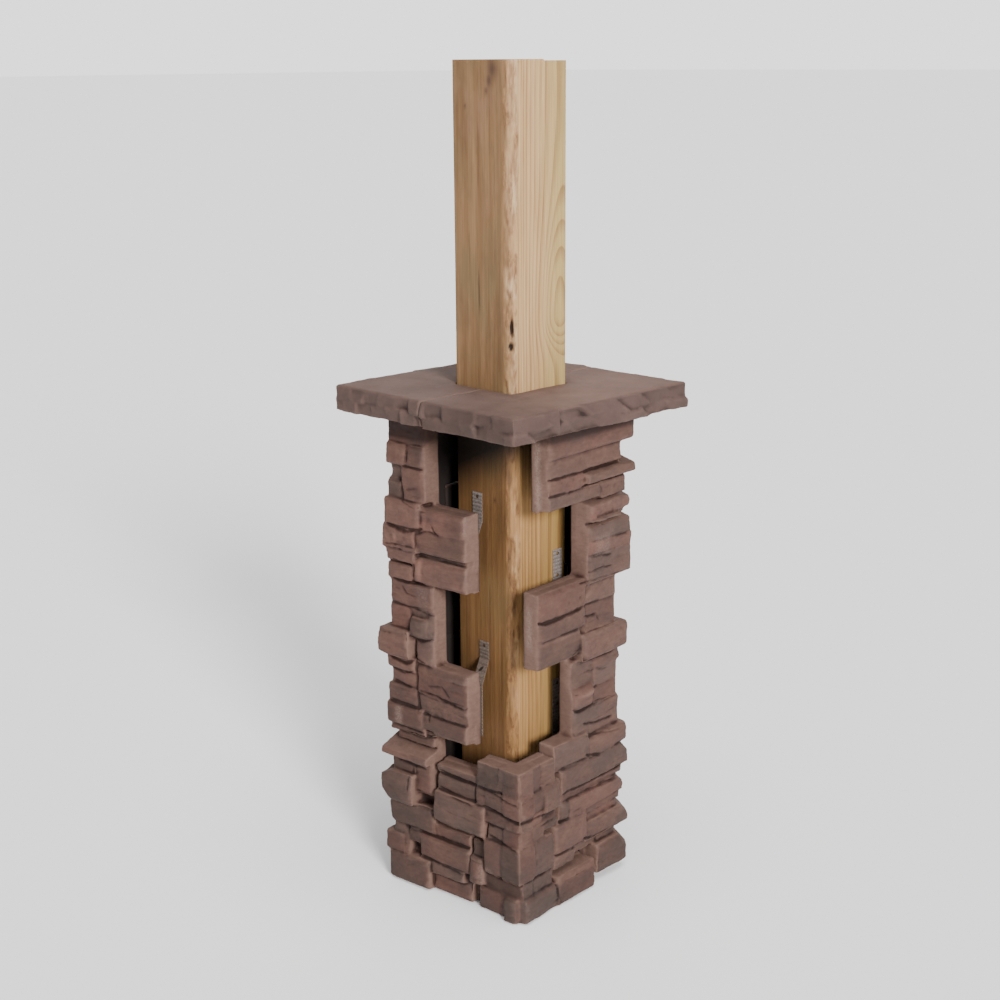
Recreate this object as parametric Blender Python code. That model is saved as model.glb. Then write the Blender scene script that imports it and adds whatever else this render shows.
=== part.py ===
"""Stacked-stone column wrap standing round a square timber post, front corner open above the lowest course.

Metres, Z up.  The origin is the centre of the post's underside on the ground.  The photographed
left-hand face looks along -Y, the right-hand face along +X, and the open corner is at +X -Y.
"""
import math

import bmesh
import bpy
from mathutils import Matrix, Vector

MM = 0.001

# Timber post
POST_SIDE = 139.7
POST_HEIGHT = 1524.0
POST_EASE = 3.0
POST_WANE = 19.0
POST_WANE_SWING = 3.5
POST_LEVELS = 16

# Wrap of corner panels, measured at the mean stone face
WRAP_WIDTH = 313.0
WRAP_HEIGHT = 913.7
WRAP_TURN_DEG = 4.2
WRAP_SHIFT_X = -0.6
WRAP_SHIFT_Y = -11.6
PANEL_THICK = 42.0
BACKING_SKIN = 15.0
PANEL_JOINT = 4.0

# The stone pattern below is laid out on this width and height and follows the wrap's own
PATTERN_WIDTH = 313.0
PATTERN_TOP = 913.7
RIGHT_PANEL_BOTTOM = 14.0

# Stones
STONE_EDGE_IN = 3.2
STONE_EDGE_DEEP = 5.0
STONE_GROW = 2.2
STONE_FREE_IN = 0.6
STONE_ROOT = 5.0
STONE_WOBBLE = 2.4
STONE_PLAIN_BELOW = 33.0
CORNER_STEP = 1.6
TIP_RUN = 24.0
WELD = 0.001
FLAT_WITHIN = math.radians(0.01)
HIDDEN_RETURN = 74.0
HIDDEN_COURSE = 96.0
HIDDEN_GAP = 2.4
HIDDEN_SHORTEST = 34.0

# Cap slab in two halves
CAP_SIDE = 457.2
CAP_THICK = 47.0
CAP_SEAT_GAP = 0.3
CAP_HOLE_CLEARANCE = 3.0
CAP_SEAM = 1.6
CAP_FACETS = 5
CAP_FACET_SPLIT = 0.49
CAP_TOP_IN = 3.0
CAP_RIM = 14.0

# Galvanised wall ties
TIE_WIDTH = 24.0
TIE_THICK = 1.0
TIE_HOLE = 5.0
TIE_HOLE_PITCH = 42.0
TIE_HOLE_FROM_END = 8.0
TIE_GAP = 0.4

HALF = WRAP_WIDTH / 2.0
INNER = HALF - PANEL_THICK
WRAP_TURN = math.radians(WRAP_TURN_DEG)
ALONG_SCALE = WRAP_WIDTH / PATTERN_WIDTH
UP_SCALE = WRAP_HEIGHT / PATTERN_TOP
POST_HALF = POST_SIDE / 2.0
CAP_UNDERSIDE = WRAP_HEIGHT + CAP_SEAT_GAP
CAP_TOP = CAP_UNDERSIDE + CAP_THICK
CAP_HOLE = POST_SIDE + 2.0 * CAP_HOLE_CLEARANCE

# Regions of a panel side as (from, to, bottom, top); distances run from the panel's own corner.
FRONT_LEFT_REGION = [(0, 102.6, 0, 298), (0, 118.6, 18, 139), (0, 203.6, 147, 268)]
FRONT_RIGHT_REGION = [(0, 98.6, 0, 298), (0, 212.6, 0, 60), (0, 117.6, 160, 254), (0, 103.6, 240, 298)]
LEFT_RIGHT_REGION = [(0, 95.6, 0, PATTERN_TOP), (0, 192.6, 0, 143), (0, 102.6, 143, 312), (0, 189.6, 312, 452),
                     (0, 108.6, 452, 603), (0, 189.6, 603, 751)]
RIGHT_LEFT_REGION = [(0, 87, RIGHT_PANEL_BOTTOM, PATTERN_TOP), (0, 212.6, 66, 158), (0, 193.6, 158, 262),
                     (0, 207.6, 262, 316), (0, 148.6, 316, 470), (0, 251.6, 470, 616), (0, 115.6, 616, 756),
                     (0, 227.6, 756, PATTERN_TOP)]
# The two hidden side patterns as (bottom, top, reach) up the panel.
LEFT_SIDE_BANDS = [(0, 62, 87), (66, 316, 191), (320, 466, 150), (470, 616, 250), (620, 758, 117),
                   (762, PATTERN_TOP, 229)]
RIGHT_SIDE_BANDS = [(0, 141, 193), (145, 310, 106), (314, 450, 193), (454, 601, 106),
                    (605, 749, 193), (753, PATTERN_TOP, 106)]

# Corner stones: (length left, length right, bottom, top, proud left, proud right, slope).  The slope is how far
# the face stands in from the top edge, or from the foot where it is negative.  Three numbers add how much the
# stone's outer end tapers at its top and at its foot.
LEFT_CORNER = [
    (0, 94, 0, 57, 5, 8, 0),
    (0, 28, 59, 93, 15, 7, 0),
    (0, 40, 95, 117, 0, -2, 0),
    (0, 103, 119, 166, 6, 2, 0),
    (0, 60, 168, 225, 15, 17, (3, 13, 22)),
    (0, 60, 227, 254, 0, -2, 0),
    (0, 103, 256, 284, 15, 15, 11),
    (0, 103, 286, 303, -7, -10, 0),
    (0, 84, 305, 320, 2, -1, 0),
    (0, 80, 322, 359, 6, 5, 0),
    (0, 67, 361, 397, 2, 3, 3),
    (0, 67, 399, 428, -2, -4, 0),
    (0, 65, 430, 458, 4, 4, 0),
    (0, 55, 460, 509, 13, 16, (4, 2, 4)),
    (0, 50, 511, 556, -4, -3, 0),
    (0, 109, 558, 602, -6, -2, 0),
    (0, 60, 605, 637, 0, 0, 3),
    (0, 70, 639, 663, 0, 3, -2),
    (0, 76, 665, 708, 5, 7, 0),
    (0, 82, 710, 757, 0, 6, 0),
    (0, 40, 759, 793, -5, -1, 4),
    (0, 42, 795, 821, -8, -8, 0),
    (0, 50, 823, 859, -5, 2, 0),
    (0, 96, 861, PATTERN_TOP, -4, -5, 0),
]
RIGHT_CORNER = [
    (86, 0, RIGHT_PANEL_BOTTOM, 73, 6, 7, (2, 24, 0)),
    (71, 0, 75, 92, -9, -14, 0),
    (112, 0, 94, 130, 2, 15, (0, 24, 0)),
    (112, 0, 132, 145, -6, -15, 0),
    (112, 0, 147, 160, -3, -8, 0),
    (164, 0, 162, 197, -1, 2, (0, 22, 0)),
    (192, 0, 199, 215, -4, 1, 0),
    (193, 0, 218, 262, 4, 10, (3, 22, 0)),
    (108, 0, 264, 300, 2, 8, (3, 3, 0)),
    (149, 0, 302, 360, -7, -10, 0),
    (88, 0, 362, 393, -7, -16, 0),
    (85, 0, 395, 430, -9, -13, 0),
    (88, 0, 432, 457, -8, -6, 0),
    (128, 0, 459, 507, 5, 2, (6, 3, 0)),
    (116, 0, 509, 560, -7, -24, 0),
    (116, 0, 562, 602, -6, -24, 0),
    (116, 0, 604, 653, 2, 13, 0),
    (116, 0, 655, 679, 3, 15, 0),
    (116, 0, 681, 714, 3, 10, 6),
    (22, 0, 716, 724, -5, -3, 0),
    (116, 0, 726, 754, 0, 12, (4, 2, 0)),
    (76, 0, 757, 789, 0, -3, 0),
    (125, 0, 791, 817, 8, 18, 5),
    (228, 0, 819, 854, -2, -16, 0),
    (228, 0, 856, PATTERN_TOP, 4, 15, 0),
]
FRONT_CORNER = [
    (18, 10, 0, 45, 2, -8, 0),
    (88, 99, 47, 81, -9, 1, 4),
    (80, 99, 84, 150, 6, 5, 0),
    (76, 74, 153, 181, 0, 1, 0),
    (80, 66, 183, 208, -1, 2, 0),
    (80, 66, 211, 247, 2, 5, 0),
    (48, 60, 250, 298, 1, 2, 0),
]

# Other stones: (from, to, bottom, top, proud, slope); distances run from the panel's corner.
LEFT_RIGHT_STONES = [
    (96, 190, 0, 37, -7, 0),
    (97, 178, 39, 62, 2, 0),
    (180, 193, 39, 62, -12, 0),
    (30, 40, 59, 100, 2, 0),
    (42, 66, 60, 84, -14, 0),
    (42, 67, 86, 117, 1, 0),
    (69, 193, 64, 111, 1, 0),
    (69, 104, 113, 117, -6, 0),
    (106, 193, 113, 142, -4, 0),
    (62, 103, 168, 192, -16, 0),
    (62, 102, 194, 256, -1, 0),
    (86, 103, 309, 320, -9, 0),
    (105, 190, 314, 322, -3, 0),
    (82, 190, 324, 353, -1, 0),
    (69, 190, 355, 393, -3, 0),
    (69, 190, 395, 451, -1, 12),
    (67, 108, 453, 500, -2, 0),
    (57, 94, 502, 537, 4, 0),
    (96, 109, 502, 556, -6, 0),
    (52, 94, 539, 556, -7, 0),
    (62, 190, 605, 652, -1, 0),
    (72, 190, 655, 666, -12, 0),
    (78, 190, 667, 705, 0, 0),
    (85, 190, 708, 750, 0, 3),
    (42, 96, 759, 820, 2, 0),
    (52, 96, 823, 859, 1, 0),
]
RIGHT_LEFT_STONES = [
    (73, 147, 75, 98, -9, 0),
    (149, 212, 67, 98, 0, 0),
    (114, 212, 101, 157, 2, 4),
    (166, 193, 162, 197, -2, 0),
    (110, 208, 266, 316, 0, 0),
    (90, 149, 362, 402, -5, 8),
    (87, 149, 404, 430, -13, 0),
    (90, 149, 432, 457, -11, 0),
    (130, 252, 471, 523, -4, 6),
    (118, 252, 526, 560, -3, 0),
    (118, 252, 563, 615, -2, 4),
    (78, 228, 757, 787, -1, 0),
    (24, 115, 715, 725, 7, 0),
    (127, 228, 789, 817, -1, 0),
]
FRONT_LEFT_STONES = [
    (20, 103, 0, 45, -6, 0),
    (105, 119, 19, 51, -14, 0),
    (90, 119, 54, 103, 4, 6),
    (82, 119, 106, 138, -6, 0),
    (83, 204, 149, 210, 8, 0),
    (82, 101, 213, 247, 0, 0),
    (103, 204, 213, 245, -4, 0),
    (50, 103, 250, 297, 0, 0),
    (105, 204, 248, 267, -3, 0),
]
FRONT_RIGHT_STONES = [
    (12, 103, 0, 45, 8, 4),
    (106, 213, 0, 59, 12, 9),
    (76, 117, 162, 180, 0, 0),
    (68, 114, 183, 197, -1, 0),
    (68, 117, 200, 252, 6, 5),
    (62, 104, 254, 297, 1, 0),
]

HIDDEN_LENGTHS = (88, 64, 108, 76, 97)
HIDDEN_PROUDS = (0, 5, -6, 2, -3, 8, -9)

# Chisel facets of the cap edge, how far each stands out at mid height and at the underside
FACET_MID = (3.5, 1.0, 4.5, 2.0, 3.0, 0.5, 4.0, 1.5)
FACET_FOOT = (1.0, 2.5, 0.0, 2.0, -0.5, 1.5)

# Ties as (name, post face, place along the post face, place along the panel, heights of the top end,
# the upper bend, the lower bend and the foot)
TIES = [
    ("tie_upper_left", "left", -17.0, 16.0, (768.0, 714.0, 682.0, 614.0)),
    ("tie_lower_left", "left", -3.0, 31.0, (486.0, 452.0, 424.0, 326.0)),
    ("tie_upper_right", "right", 47.0, 47.0, (653.0, 589.0, 557.0, 480.0)),
    ("tie_lower_right", "right", 47.0, 47.0, (400.0, 284.0, 250.0, 180.0)),
]


def material(name, colour, roughness, metallic=0.0):
    made = bpy.data.materials.new(name)
    made.use_nodes = True
    shader = made.node_tree.nodes["Principled BSDF"]
    shader.inputs["Base Color"].default_value = (*colour, 1.0)
    shader.inputs["Roughness"].default_value = roughness
    shader.inputs["Metallic"].default_value = metallic
    return made


def add_object(name, verts, faces, mat):
    """Make a mesh object from millimetre points, with its faces turned outward and its bent faces split."""
    mesh = bpy.data.meshes.new(name)
    mesh.from_pydata([tuple(c * MM for c in v) for v in verts], [], faces)
    bm = bmesh.new()
    bm.from_mesh(mesh)
    bmesh.ops.recalc_face_normals(bm, faces=bm.faces)
    bmesh.ops.connect_verts_nonplanar(bm, angle_limit=FLAT_WITHIN, faces=bm.faces)
    bm.to_mesh(mesh)
    bm.free()
    mesh.materials.append(mat)
    made = bpy.data.objects.new(name, mesh)
    bpy.context.scene.collection.objects.link(made)
    return made


def ring_solid(rings):
    """Faces that join equal rings of points from the first ring to the last, with both ends closed."""
    count = len(rings[0])
    faces = [list(range(count))]
    for level in range(len(rings) - 1):
        low = level * count
        high = low + count
        for k in range(count):
            after = (k + 1) % count
            faces.append([low + k, low + after, high + after, high + k])
    faces.append([(len(rings) - 1) * count + k for k in range(count)])
    return [p for ring in rings for p in ring], faces


def left_point(s, out, z):
    return (HALF - s * ALONG_SCALE, -HALF - out, z * UP_SCALE)


def right_point(s, out, z):
    return (HALF + out, -HALF + s * ALONG_SCALE, z * UP_SCALE)


def inside(region, s, z):
    return any(a <= s <= b and low <= z <= high for a, b, low, high in region)


def wobble(*numbers):
    """A small fixed unevenness between -1 and 1 that depends only on the stone's own sizes."""
    total = sum((k + 3) * 7.31 * number for k, number in enumerate(numbers))
    return math.sin(total)


def slopes(slope):
    """How far a stone's face stands in at its top and its foot, and how much its outer end tapers at each."""
    tip_top = 0.0
    tip_foot = 0.0
    if isinstance(slope, tuple):
        slope, tip_top, tip_foot = slope
    return max(slope, 0.0), max(-slope, 0.0), tip_top, tip_foot


def stone_rings(place, region, row, plain=False):
    """Rings of one stone: its root in the backing, its shoulder and its face.

    A plain or a thin stone has no shoulder.
    """
    s0, s1, z0, z1, proud, slope = row
    mid_s = (s0 + s1) / 2.0
    mid_z = (z0 + z1) / 2.0
    probe = 2.0 * STONE_GROW

    def edge(value, sign, s, z):
        return value + sign * (STONE_GROW if inside(region, s, z) else -STONE_FREE_IN)

    a = edge(s0, -1, s0 - probe, mid_z)
    b = edge(s1, 1, s1 + probe, mid_z)
    low = edge(z0, -1, mid_s, z0 - probe)
    high = edge(z1, 1, mid_s, z1 + probe)
    back = -PANEL_THICK + STONE_ROOT
    shoulder = proud - STONE_EDGE_DEEP
    top_slope, foot_slope, tip_top, tip_foot = slopes(slope)
    top_in = STONE_EDGE_IN + top_slope
    foot_in = STONE_EDGE_IN + foot_slope
    corners = [(a, low), (b, low), (b, high), (a, high)]
    face = [(a + STONE_EDGE_IN, low + foot_in + tip_foot), (b - STONE_EDGE_IN, low + foot_in),
            (b - STONE_EDGE_IN, high - top_in), (a + STONE_EDGE_IN, high - top_in - tip_top)]
    taper = [tip_foot, 0.0, 0.0, -tip_top]
    if tip_top or tip_foot:
        run = a + TIP_RUN
        corners = corners[:1] + [(run, low)] + corners[1:3] + [(run, high)] + corners[3:]
        face = face[:1] + [(run, low + foot_in)] + face[1:3] + [(run, high - top_in)] + face[3:]
        taper = [tip_foot, 0.0, 0.0, 0.0, 0.0, -tip_top]
    rings = [[place(s, back, z) for s, z in corners]]
    if not plain and z1 - z0 > STONE_PLAIN_BELOW:
        rings.append([place(s, shoulder, z + lift) for (s, z), lift in zip(corners, taper)])
    uneven = []
    for k, (s, z) in enumerate(face):
        out = proud + STONE_WOBBLE * 0.5 * wobble(s0, z0, k)
        shift = STONE_WOBBLE * 0.5 * wobble(s1, z1, k)
        uneven.append(place(s, out, z + shift))
    rings.append(uneven)
    return rings


def corner_rows(rows, side):
    """The part of each corner stone that lies on one side, as ordinary rows.

    A stone with no length on the other side turns the corner by its own thickness.
    """
    made = []
    for left_len, right_len, z0, z1, left_out, right_out, slope in rows:
        step = CORNER_STEP if left_len and right_len else 0.0
        if side == "left" and left_len:
            made.append((step - right_out, left_len, z0, z1, left_out, slope))
        if side == "right" and right_len:
            made.append((step - left_out + 0.25 * step, right_len, z0, z1, right_out, slope))
    return made


def fill_courses(bands, start):
    """Plain courses for a hidden side, laid band by band from the corner stones to the panel's edge."""
    rows = []
    for number, (bottom, top, reach) in enumerate(bands):
        count = max(1, round((top - bottom) / HIDDEN_COURSE))
        height = (top - bottom) / count
        for course in range(count):
            low = bottom + course * height
            high = low + height - (HIDDEN_GAP if course < count - 1 else 0.0)
            s = start
            k = number + 2 * course
            while s < reach - 1.0:
                end = s + HIDDEN_LENGTHS[k % len(HIDDEN_LENGTHS)]
                if reach - end < HIDDEN_SHORTEST:
                    end = reach + HIDDEN_GAP
                proud = HIDDEN_PROUDS[(2 * k + number) % len(HIDDEN_PROUDS)]
                rows.append((s, end - HIDDEN_GAP, low, high, proud, 0))
                s = end
                k += 1
    return rows


def plain_corner(bands):
    """Corner stones of the back panel in courses of one height."""
    rows = []
    bottom = bands[0][0]
    top = bands[-1][1]
    count = round((top - bottom) / HIDDEN_COURSE)
    height = (top - bottom) / count
    for course in range(count):
        low = bottom + course * height
        high = low + height - (HIDDEN_GAP if course < count - 1 else 0.0)
        left_out = HIDDEN_PROUDS[(3 * course) % len(HIDDEN_PROUDS)]
        right_out = HIDDEN_PROUDS[(3 * course + 2) % len(HIDDEN_PROUDS)]
        rows.append((HIDDEN_RETURN, 0, low, high, left_out, right_out, 0))
    return rows


def band_region(bands):
    bottom = bands[0][0]
    top = bands[-1][1]
    shortest = min(reach for low, high, reach in bands)
    return [(0, shortest, bottom, top)] + [(0, reach, low, high) for low, high, reach in bands]


def slab(place, s0, s1, z0, z1, out0, out1):
    back = [place(s0, out0, z0), place(s1, out0, z0), place(s1, out0, z1), place(s0, out0, z1)]
    front = [place(s0, out1, z0), place(s1, out1, z0), place(s1, out1, z1), place(s0, out1, z1)]
    return [back, front]


def join_solids(base, others):
    """Unite overlapping solids into the base object and remove the others."""
    group = bpy.data.collections.new("stones")
    bpy.context.scene.collection.children.link(group)
    for other in others:
        group.objects.link(other)
        other.hide_render = True
        other.display_type = "WIRE"
    union = base.modifiers.new("union", "BOOLEAN")
    union.operation = "UNION"
    union.solver = "EXACT"
    union.operand_type = "COLLECTION"
    union.collection = group
    graph = bpy.context.evaluated_depsgraph_get()
    mesh = bpy.data.meshes.new_from_object(base.evaluated_get(graph))
    base.modifiers.remove(union)
    base.data = mesh
    for other in others:
        bpy.data.objects.remove(other)
    bpy.data.collections.remove(group)


def panel(name, quarter_turns, left, right, corner, mat):
    """One corner panel.  left and right are (region, stone rows, plain) and corner is the corner stones."""
    left_region, left_rows, left_plain = left
    right_region, right_rows, right_plain = right
    skin = -PANEL_THICK + BACKING_SKIN
    solids = []
    for region, place, pull in ((left_region, left_point, 1.0), (right_region, right_point, 0.0)):
        for k, (s0, s1, z0, z1) in enumerate(region):
            first = -skin + pull if k == 0 else -skin + 2.0 + k
            lift = 0.0 if k == 0 else 0.05 * k
            solids.append(slab(place, first, s1, z0, z1, -PANEL_THICK + lift, skin - lift))
    sides = ((corner_rows(corner, "left") + left_rows, left_region, left_point, left_plain),
             (corner_rows(corner, "right") + right_rows, right_region, right_point, right_plain))
    for rows, region, place, plain in sides:
        whole = [(-60.0, region[0][1], region[0][2], region[0][3])] + region
        for row in rows:
            solids.append(stone_rings(place, whole, row, plain))
    made = []
    for number, rings in enumerate(solids):
        verts, faces = ring_solid(rings)
        made.append(add_object(f"{name}_{number}", verts, faces, mat))
    base = made[0]
    join_solids(base, made[1:])
    base.name = name
    base.data.name = name
    turn = Matrix.Rotation(WRAP_TURN, 4, "Z")
    shift = Matrix.Translation(Vector((WRAP_SHIFT_X * MM, WRAP_SHIFT_Y * MM, 0.0)))
    base.data.transform(shift @ turn @ Matrix.Rotation(quarter_turns * math.pi / 2.0, 4, "Z"))
    tidy_mesh(base)
    return base


def tidy_mesh(made):
    bm = bmesh.new()
    bm.from_mesh(made.data)
    bmesh.ops.remove_doubles(bm, verts=bm.verts, dist=WELD * MM)
    bmesh.ops.triangulate(bm, faces=bm.faces)
    bmesh.ops.dissolve_degenerate(bm, edges=bm.edges, dist=WELD * MM)
    bmesh.ops.triangulate(bm, faces=bm.faces)
    bm.to_mesh(made.data)
    bm.free()


def build_post(mat):
    """The sawn post with three eased corners and a bark-side wane down its front corner."""
    rings = []
    for level in range(POST_LEVELS + 1):
        t = level / POST_LEVELS
        z = POST_HEIGHT * t
        cut_left = POST_WANE + POST_WANE_SWING * math.sin(9.0 * t + 0.6)
        cut_right = POST_WANE + POST_WANE_SWING * math.sin(13.0 * t + 2.1)
        bulge = 0.32 * (cut_left + cut_right) / 2.0
        h = POST_HALF
        e = POST_EASE
        ring = [(-h + e, -h, z), (h - cut_left, -h, z), (h - bulge, -h + bulge, z),
                (h, -h + cut_right, z), (h, h - e, z), (h - e, h, z), (-h + e, h, z), (-h, h - e, z),
                (-h, -h + e, z)]
        rings.append(ring)
    verts, faces = ring_solid(rings)
    return add_object("wood_post", verts, faces, mat)


def cap_edge(start, end, columns, outward, seed, drop):
    """Outline points along one chiselled edge, each with its offsets at the top, middle and foot."""
    points = []
    for k in range(columns):
        t = k / columns
        x = start[0] + (end[0] - start[0]) * t
        y = start[1] + (end[1] - start[1]) * t
        mid = FACET_MID[(seed + 3 * k) % len(FACET_MID)]
        foot = FACET_FOOT[(seed + 2 * k) % len(FACET_FOOT)]
        low = drop[k] if k < len(drop) else 0.0
        points.append(((x, y), outward, mid, foot, low))
    return points


def build_cap_half(name, side, mat):
    """Half of the square cap; side is -1 for the photographed left half and 1 for the right half."""
    far = CAP_SIDE / 2.0 - max(FACET_MID)
    hole = CAP_HOLE / 2.0
    seam = CAP_SEAM / 2.0
    s = side
    droop = (4.5, 2.0, 0.5) if side > 0 else (0.0, 0.5)
    points = []
    points += cap_edge((s * seam, -far), (s * far, -far), CAP_FACETS, (0.0, -1.0), 2, droop)
    points += cap_edge((s * far, -far), (s * far, far), 2 * CAP_FACETS, (s, 0.0), 5, ())
    points += cap_edge((s * far, far), (s * seam, far), CAP_FACETS, (0.0, 1.0), 1, ())
    inner = [((s * seam, far), (0.0, 1.0), 1.0, 0.5, 0.0)]
    inner += [((x, y), (0.0, 0.0), 0.0, 0.0, 0.0) for x, y in
              ((s * seam, hole), (s * hole, hole), (s * hole, -hole), (s * seam, -hole))]
    points += inner
    rings = []
    for level in ("seat", "foot", "middle", "shoulder", "top"):
        ring = []
        for k, ((x, y), (ox, oy), mid, foot, low) in enumerate(points):
            if k in (CAP_FACETS, 3 * CAP_FACETS):
                ox, oy = s, (-1.0 if k == CAP_FACETS else 1.0)
            waist = CAP_TOP - CAP_FACET_SPLIT * CAP_THICK + 2.0 * math.sin(2.3 * k)
            out = {"seat": -CAP_RIM, "foot": foot, "middle": mid, "shoulder": 0.0, "top": -CAP_TOP_IN}[level]
            z = {"seat": CAP_UNDERSIDE, "foot": CAP_UNDERSIDE - low, "middle": waist,
                 "shoulder": CAP_TOP - CAP_TOP_IN, "top": CAP_TOP}[level]
            if ox == 0.0 and oy == 0.0:
                out = 0.0
            ring.append((x + ox * out, y + oy * out, z))
        rings.append(ring)
    verts, faces = ring_solid(rings)
    made = add_object(name, verts, faces, mat)
    tidy_mesh(made)
    return made


def room_to_panel(face, along):
    """How far the panel's inner face stands from the post's face at one place along it."""
    if face == "left":
        plane = WRAP_SHIFT_Y + math.tan(WRAP_TURN) * (along - WRAP_SHIFT_X) - INNER / math.cos(WRAP_TURN)
        return -plane - POST_HALF
    plane = WRAP_SHIFT_X - math.tan(WRAP_TURN) * (along - WRAP_SHIFT_Y) + INNER / math.cos(WRAP_TURN)
    return plane - POST_HALF


def tie_point(face, along, out, z):
    if face == "left":
        return (along, -POST_HALF - out, z)
    return (POST_HALF + out, along, z)


def cut_holes(made, face, along, heights):
    """Cut round nail holes through a tie's flat end on the post."""
    for z in heights:
        rings = []
        for out in (-TIE_GAP, 3.0 * TIE_THICK + TIE_GAP):
            ring = []
            for k in range(12):
                angle = 2.0 * math.pi * k / 12
                across = along + TIE_HOLE / 2.0 * math.cos(angle)
                ring.append(tie_point(face, across, out, z + TIE_HOLE / 2.0 * math.sin(angle)))
            rings.append(ring)
        verts, faces = ring_solid(rings)
        cutter = add_object("hole", verts, faces, made.data.materials[0])
        cutter.hide_render = True
        cutter.display_type = "WIRE"
        cut = made.modifiers.new("hole", "BOOLEAN")
        cut.operation = "DIFFERENCE"
        cut.solver = "EXACT"
        cut.object = cutter
        graph = bpy.context.evaluated_depsgraph_get()
        mesh = bpy.data.meshes.new_from_object(made.evaluated_get(graph))
        made.modifiers.remove(cut)
        made.data = mesh
        bpy.data.objects.remove(cutter)


def build_tie(name, face, on_post, on_panel, heights, mat):
    """A strip that is nailed to the post, bends outward and runs down behind a panel finger."""
    edges = (on_panel - TIE_WIDTH / 2.0, on_panel + TIE_WIDTH / 2.0)
    reach = min(room_to_panel(face, edge) for edge in edges) - TIE_GAP - TIE_THICK
    places = (on_post, on_post, on_panel, on_panel)
    outs = (TIE_GAP, TIE_GAP, reach, reach)
    levels = [z * UP_SCALE for z in heights]
    lift = (0.0, TIE_THICK * 0.5, TIE_THICK * 0.5, 0.0)
    rings = []
    for offset in (-TIE_WIDTH / 2.0, TIE_WIDTH / 2.0):
        near = [tie_point(face, a + offset, out, z) for a, out, z in zip(places, outs, levels)]
        far = [tie_point(face, a + offset, out + TIE_THICK, z + up)
               for a, out, z, up in zip(places, outs, levels, lift)]
        rings.append(near + far[::-1])
    verts, faces = ring_solid(rings)
    made = add_object(name, verts, faces, mat)
    first = levels[0] - TIE_HOLE_FROM_END
    room = levels[0] - levels[1]
    holes = [first] if room < TIE_HOLE_PITCH + 2.0 * TIE_HOLE_FROM_END else [first, first - TIE_HOLE_PITCH]
    if room > TIE_HOLE_FROM_END + TIE_HOLE:
        cut_holes(made, face, on_post, holes)
    tidy_mesh(made)
    made.data.name = name
    return made


def build_all():
    for old in list(bpy.data.objects):
        bpy.data.objects.remove(old)
    stone = material("stone_foam", (0.19, 0.125, 0.105), 0.85)
    cap = material("cap_foam", (0.24, 0.175, 0.155), 0.8)
    wood = material("treated_pine", (0.45, 0.30, 0.16), 0.75)
    steel = material("galvanised_steel", (0.55, 0.56, 0.57), 0.45, 1.0)

    build_post(wood)
    front_left = (FRONT_LEFT_REGION, FRONT_LEFT_STONES, False)
    front_right = (FRONT_RIGHT_REGION, FRONT_RIGHT_STONES, False)
    panel("panel_front_low", 0, front_left, front_right, FRONT_CORNER, stone)

    lifted = [(max(low, RIGHT_PANEL_BOTTOM), high, reach) for low, high, reach in RIGHT_SIDE_BANDS]
    start = PANEL_THICK - STONE_ROOT + HIDDEN_GAP
    north = (band_region(lifted), fill_courses(lifted, start), True)
    panel("panel_right", 1, (RIGHT_LEFT_REGION, RIGHT_LEFT_STONES, False), north, RIGHT_CORNER, stone)

    west = (band_region(LEFT_SIDE_BANDS), fill_courses(LEFT_SIDE_BANDS, start), True)
    panel("panel_left", 3, west, (LEFT_RIGHT_REGION, LEFT_RIGHT_STONES, False), LEFT_CORNER, stone)

    across = PATTERN_WIDTH - PANEL_JOINT
    back_left = [(low, high, across - reach) for low, high, reach in RIGHT_SIDE_BANDS]
    back_right = [(low, high, across - reach) for low, high, reach in LEFT_SIDE_BANDS]
    past_corner = fill_courses(back_left, HIDDEN_RETURN + HIDDEN_GAP)
    panel("panel_back", 2, (band_region(back_left), past_corner, True),
          (band_region(back_right), fill_courses(back_right, start), True), plain_corner(back_left), stone)

    build_cap_half("cap_half_left", -1, cap)
    build_cap_half("cap_half_right", 1, cap)
    for name, face, on_post, on_panel, heights in TIES:
        build_tie(name, face, on_post, on_panel, heights, steel)


build_all()
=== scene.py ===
"""Looks of the stacked-stone column wrap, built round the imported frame.  Metres, Z up."""
import math

import bmesh
import bpy
import numpy as np
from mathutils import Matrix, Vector
from mathutils.bvhtree import BVHTree


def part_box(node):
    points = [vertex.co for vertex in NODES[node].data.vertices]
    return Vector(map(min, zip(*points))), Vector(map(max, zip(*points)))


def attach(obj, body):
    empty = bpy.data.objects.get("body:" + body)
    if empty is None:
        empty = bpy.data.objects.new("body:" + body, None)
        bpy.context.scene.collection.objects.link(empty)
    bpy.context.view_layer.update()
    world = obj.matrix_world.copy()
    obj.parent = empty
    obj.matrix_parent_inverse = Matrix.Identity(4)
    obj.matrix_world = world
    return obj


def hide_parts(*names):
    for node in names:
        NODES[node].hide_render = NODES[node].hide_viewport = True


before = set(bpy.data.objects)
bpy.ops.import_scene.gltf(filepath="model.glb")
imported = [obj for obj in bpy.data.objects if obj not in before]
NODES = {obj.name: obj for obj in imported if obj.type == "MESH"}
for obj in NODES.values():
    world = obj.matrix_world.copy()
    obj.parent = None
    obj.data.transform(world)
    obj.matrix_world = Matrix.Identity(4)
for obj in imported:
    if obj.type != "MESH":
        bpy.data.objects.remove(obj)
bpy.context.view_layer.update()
MM = 0.001

# The stone wrap is turned on the post and stands a little off its axis
WRAP_TURN = math.radians(4.2)
WRAP_SHIFT = np.array((-0.6, -11.6, 0.0)) * MM
HALF_WRAP = 156.5 * MM
WRAP_TOP = 913.7 * MM
# Outward directions of the wrap's sides, first the two that the photograph shows
SIDES = ((0.0, -1.0), (1.0, 0.0), (0.0, 1.0), (-1.0, 0.0))
SOUTH, EAST = 0, 1

VOXEL = 2.4 * MM
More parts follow.
